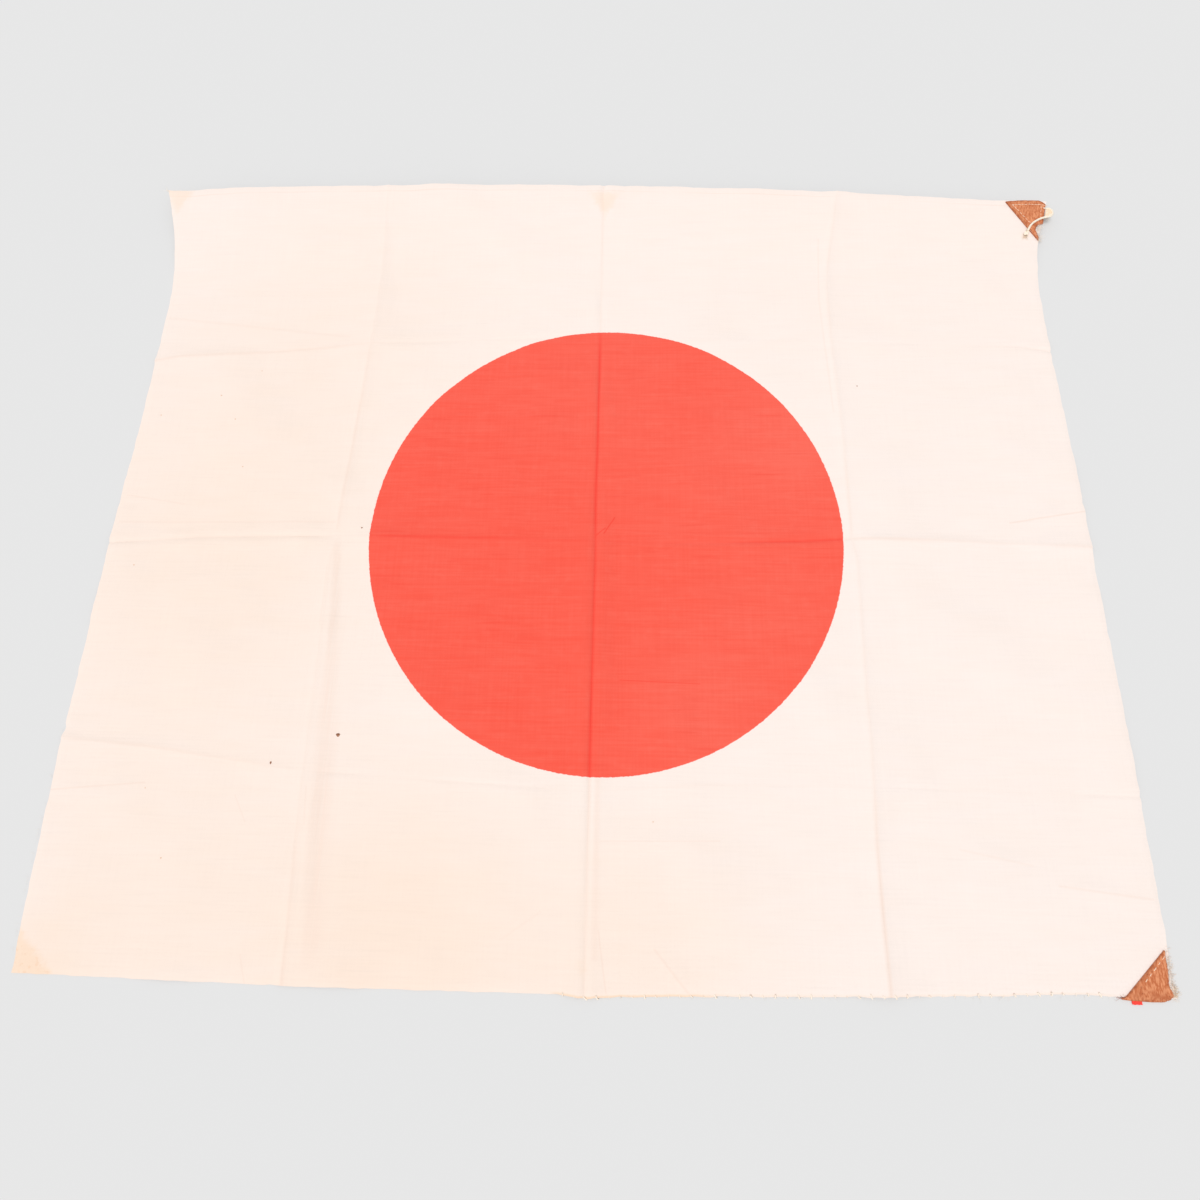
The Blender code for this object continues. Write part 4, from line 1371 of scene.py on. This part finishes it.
def hem_path():
    places = np.linspace(HEM_SEWN_FROM, HEM_SEWN_TO, 160)
    xs = np.interp(places, np.arange(PANELS + 1), [float(line[0][1]) for line in AWAY_LINES])
    ys = along(NEAR_EDGE, places)
    return edge_run([(x, y + 0.2, height_at([cloth_surface], x, y + 0.9) - 0.25) for x, y in zip(xs, ys)])


hook = form_object("hem_stitch_form", tube_mesh("hem_stitch", smooth_route(HEM_STITCH_ROUTE, 11),
                                                HEM_STITCH_RADIUS, 8))
yellow_thread = thread_finish("yellowed_thread", (0.93, 0.85, 0.75, 1), (0.92, 0.80, 0.68, 1), 1200.0)
hem_sewing = grown("hem_sewing", hem_path(), sew, "cotton", form=hook, finish=yellow_thread,
                   unevenness=0.5, turn=0.5, seed=5, pitch=HEM_STITCH_PITCH * MM)

# %% [markdown]
# A few specks lie on the cloth, some dark and some faint. They are real flakes, thin and round at the rim,
# so they also show from the side. A stub of red tape looks out from under the near patch.

# %% Specks and red tape
SPECKS = {
    "dark": ((-195.8, -182.0, 3.2, 2.8), (-246.4, -204.5, 1.4, 3.0), (-197.5, -5.2, 1.4, 1.4),
             (240.5, 136.2, 0.9, 1.2)),
    "faint": ((-392.6, -40.8, 1.2, 1.1), (-343.6, -225.1, 1.0, 1.0), (-320.2, -276.0, 1.2, 1.1),
              (-399.0, 105.8, 1.2, 1.2), (-311.6, 152.8, 1.1, 1.2), (54.0, -242.8, 1.1, 1.0),
              (-345.1, 125.9, 1.6, 1.4), (-327.4, 100.7, 1.4, 1.4), (-312.8, 53.0, 1.4, 1.2)),
}
SPECK_THICKNESS = 0.35
TAPE_BOX = ((386.2, -356.9), (393.0, -349.8))
TAPE_LOW, TAPE_HIGH = 0.35, 0.78
TAPE_STEPS = 8


def flake_form():
    form = bmesh.new()
    bmesh.ops.create_icosphere(form, subdivisions=2, radius=0.5)
    for vertex in form.verts:
        vertex.co.z *= 0.9 + 0.5 * math.sin(9 * vertex.co.x) * math.cos(7 * vertex.co.y)
        vertex.co.x *= 1 + 0.25 * math.sin(5 * vertex.co.y)
    return form_object("flake_form", mesh_from("flake", form))


def speck_points(found):
    points = [(x, y, height_at(surfaces, x, y) + 0.02) for x, y, _, _ in found]
    sizes = np.array([(wide, deep, SPECK_THICKNESS) for _, _, wide, deep in found]) * MM
    return scatter_points(points, np.zeros((len(found), 3)), sizes)


speck_finishes = {
    "dark": thread_finish("dark_speck", (0.46, 0.24, 0.15, 1), (0.22, 0.09, 0.05, 1), 800.0),
    "faint": thread_finish("faint_speck", (0.85, 0.62, 0.46, 1), (0.70, 0.44, 0.30, 1), 800.0),
}
flake = flake_form()
specks = [grown(f"{kind}_specks", speck_points(found), scatter, "cotton", form=flake,
                finish=speck_finishes[kind], unevenness=0.1, turn=0.05, seed=9)
          for kind, found in SPECKS.items()]


def tape_mesh():
    (left, low), (right, high) = TAPE_BOX
    form = bmesh.new()
    bmesh.ops.create_grid(form, x_segments=TAPE_STEPS, y_segments=TAPE_STEPS, size=0.5)
    for vertex in form.verts:
        x = left + (vertex.co.x + 0.5) * (right - left)
        y = low + (vertex.co.y + 0.5) * (high - low)
        z = TAPE_LOW + 0.06 * math.sin(x * 1.9) + 0.05 * math.sin(y * 2.3)
        vertex.co = Vector((x, y + 0.12 * math.sin(x * 5), z)) * MM
    bmesh.ops.solidify(form, geom=form.faces[:], thickness=-(TAPE_HIGH - TAPE_LOW) * MM)
    bmesh.ops.recalc_face_normals(form, faces=form.faces[:])
    return mesh_from("red_tape", form)


tape_red = thread_finish("red_tape", (0.92, 0.085, 0.060, 1), (0.90, 0.060, 0.045, 1), 1300.0)
red_tape = keep("red_tape", tape_mesh(), tape_red)

# %% The end
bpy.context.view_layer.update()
on_cloth = [*sewing_pieces, hem_sewing, *specks, red_tape]
on_cloth += [piece for name, piece in fringes.items() if name not in ("knot_end", "tie_end")]
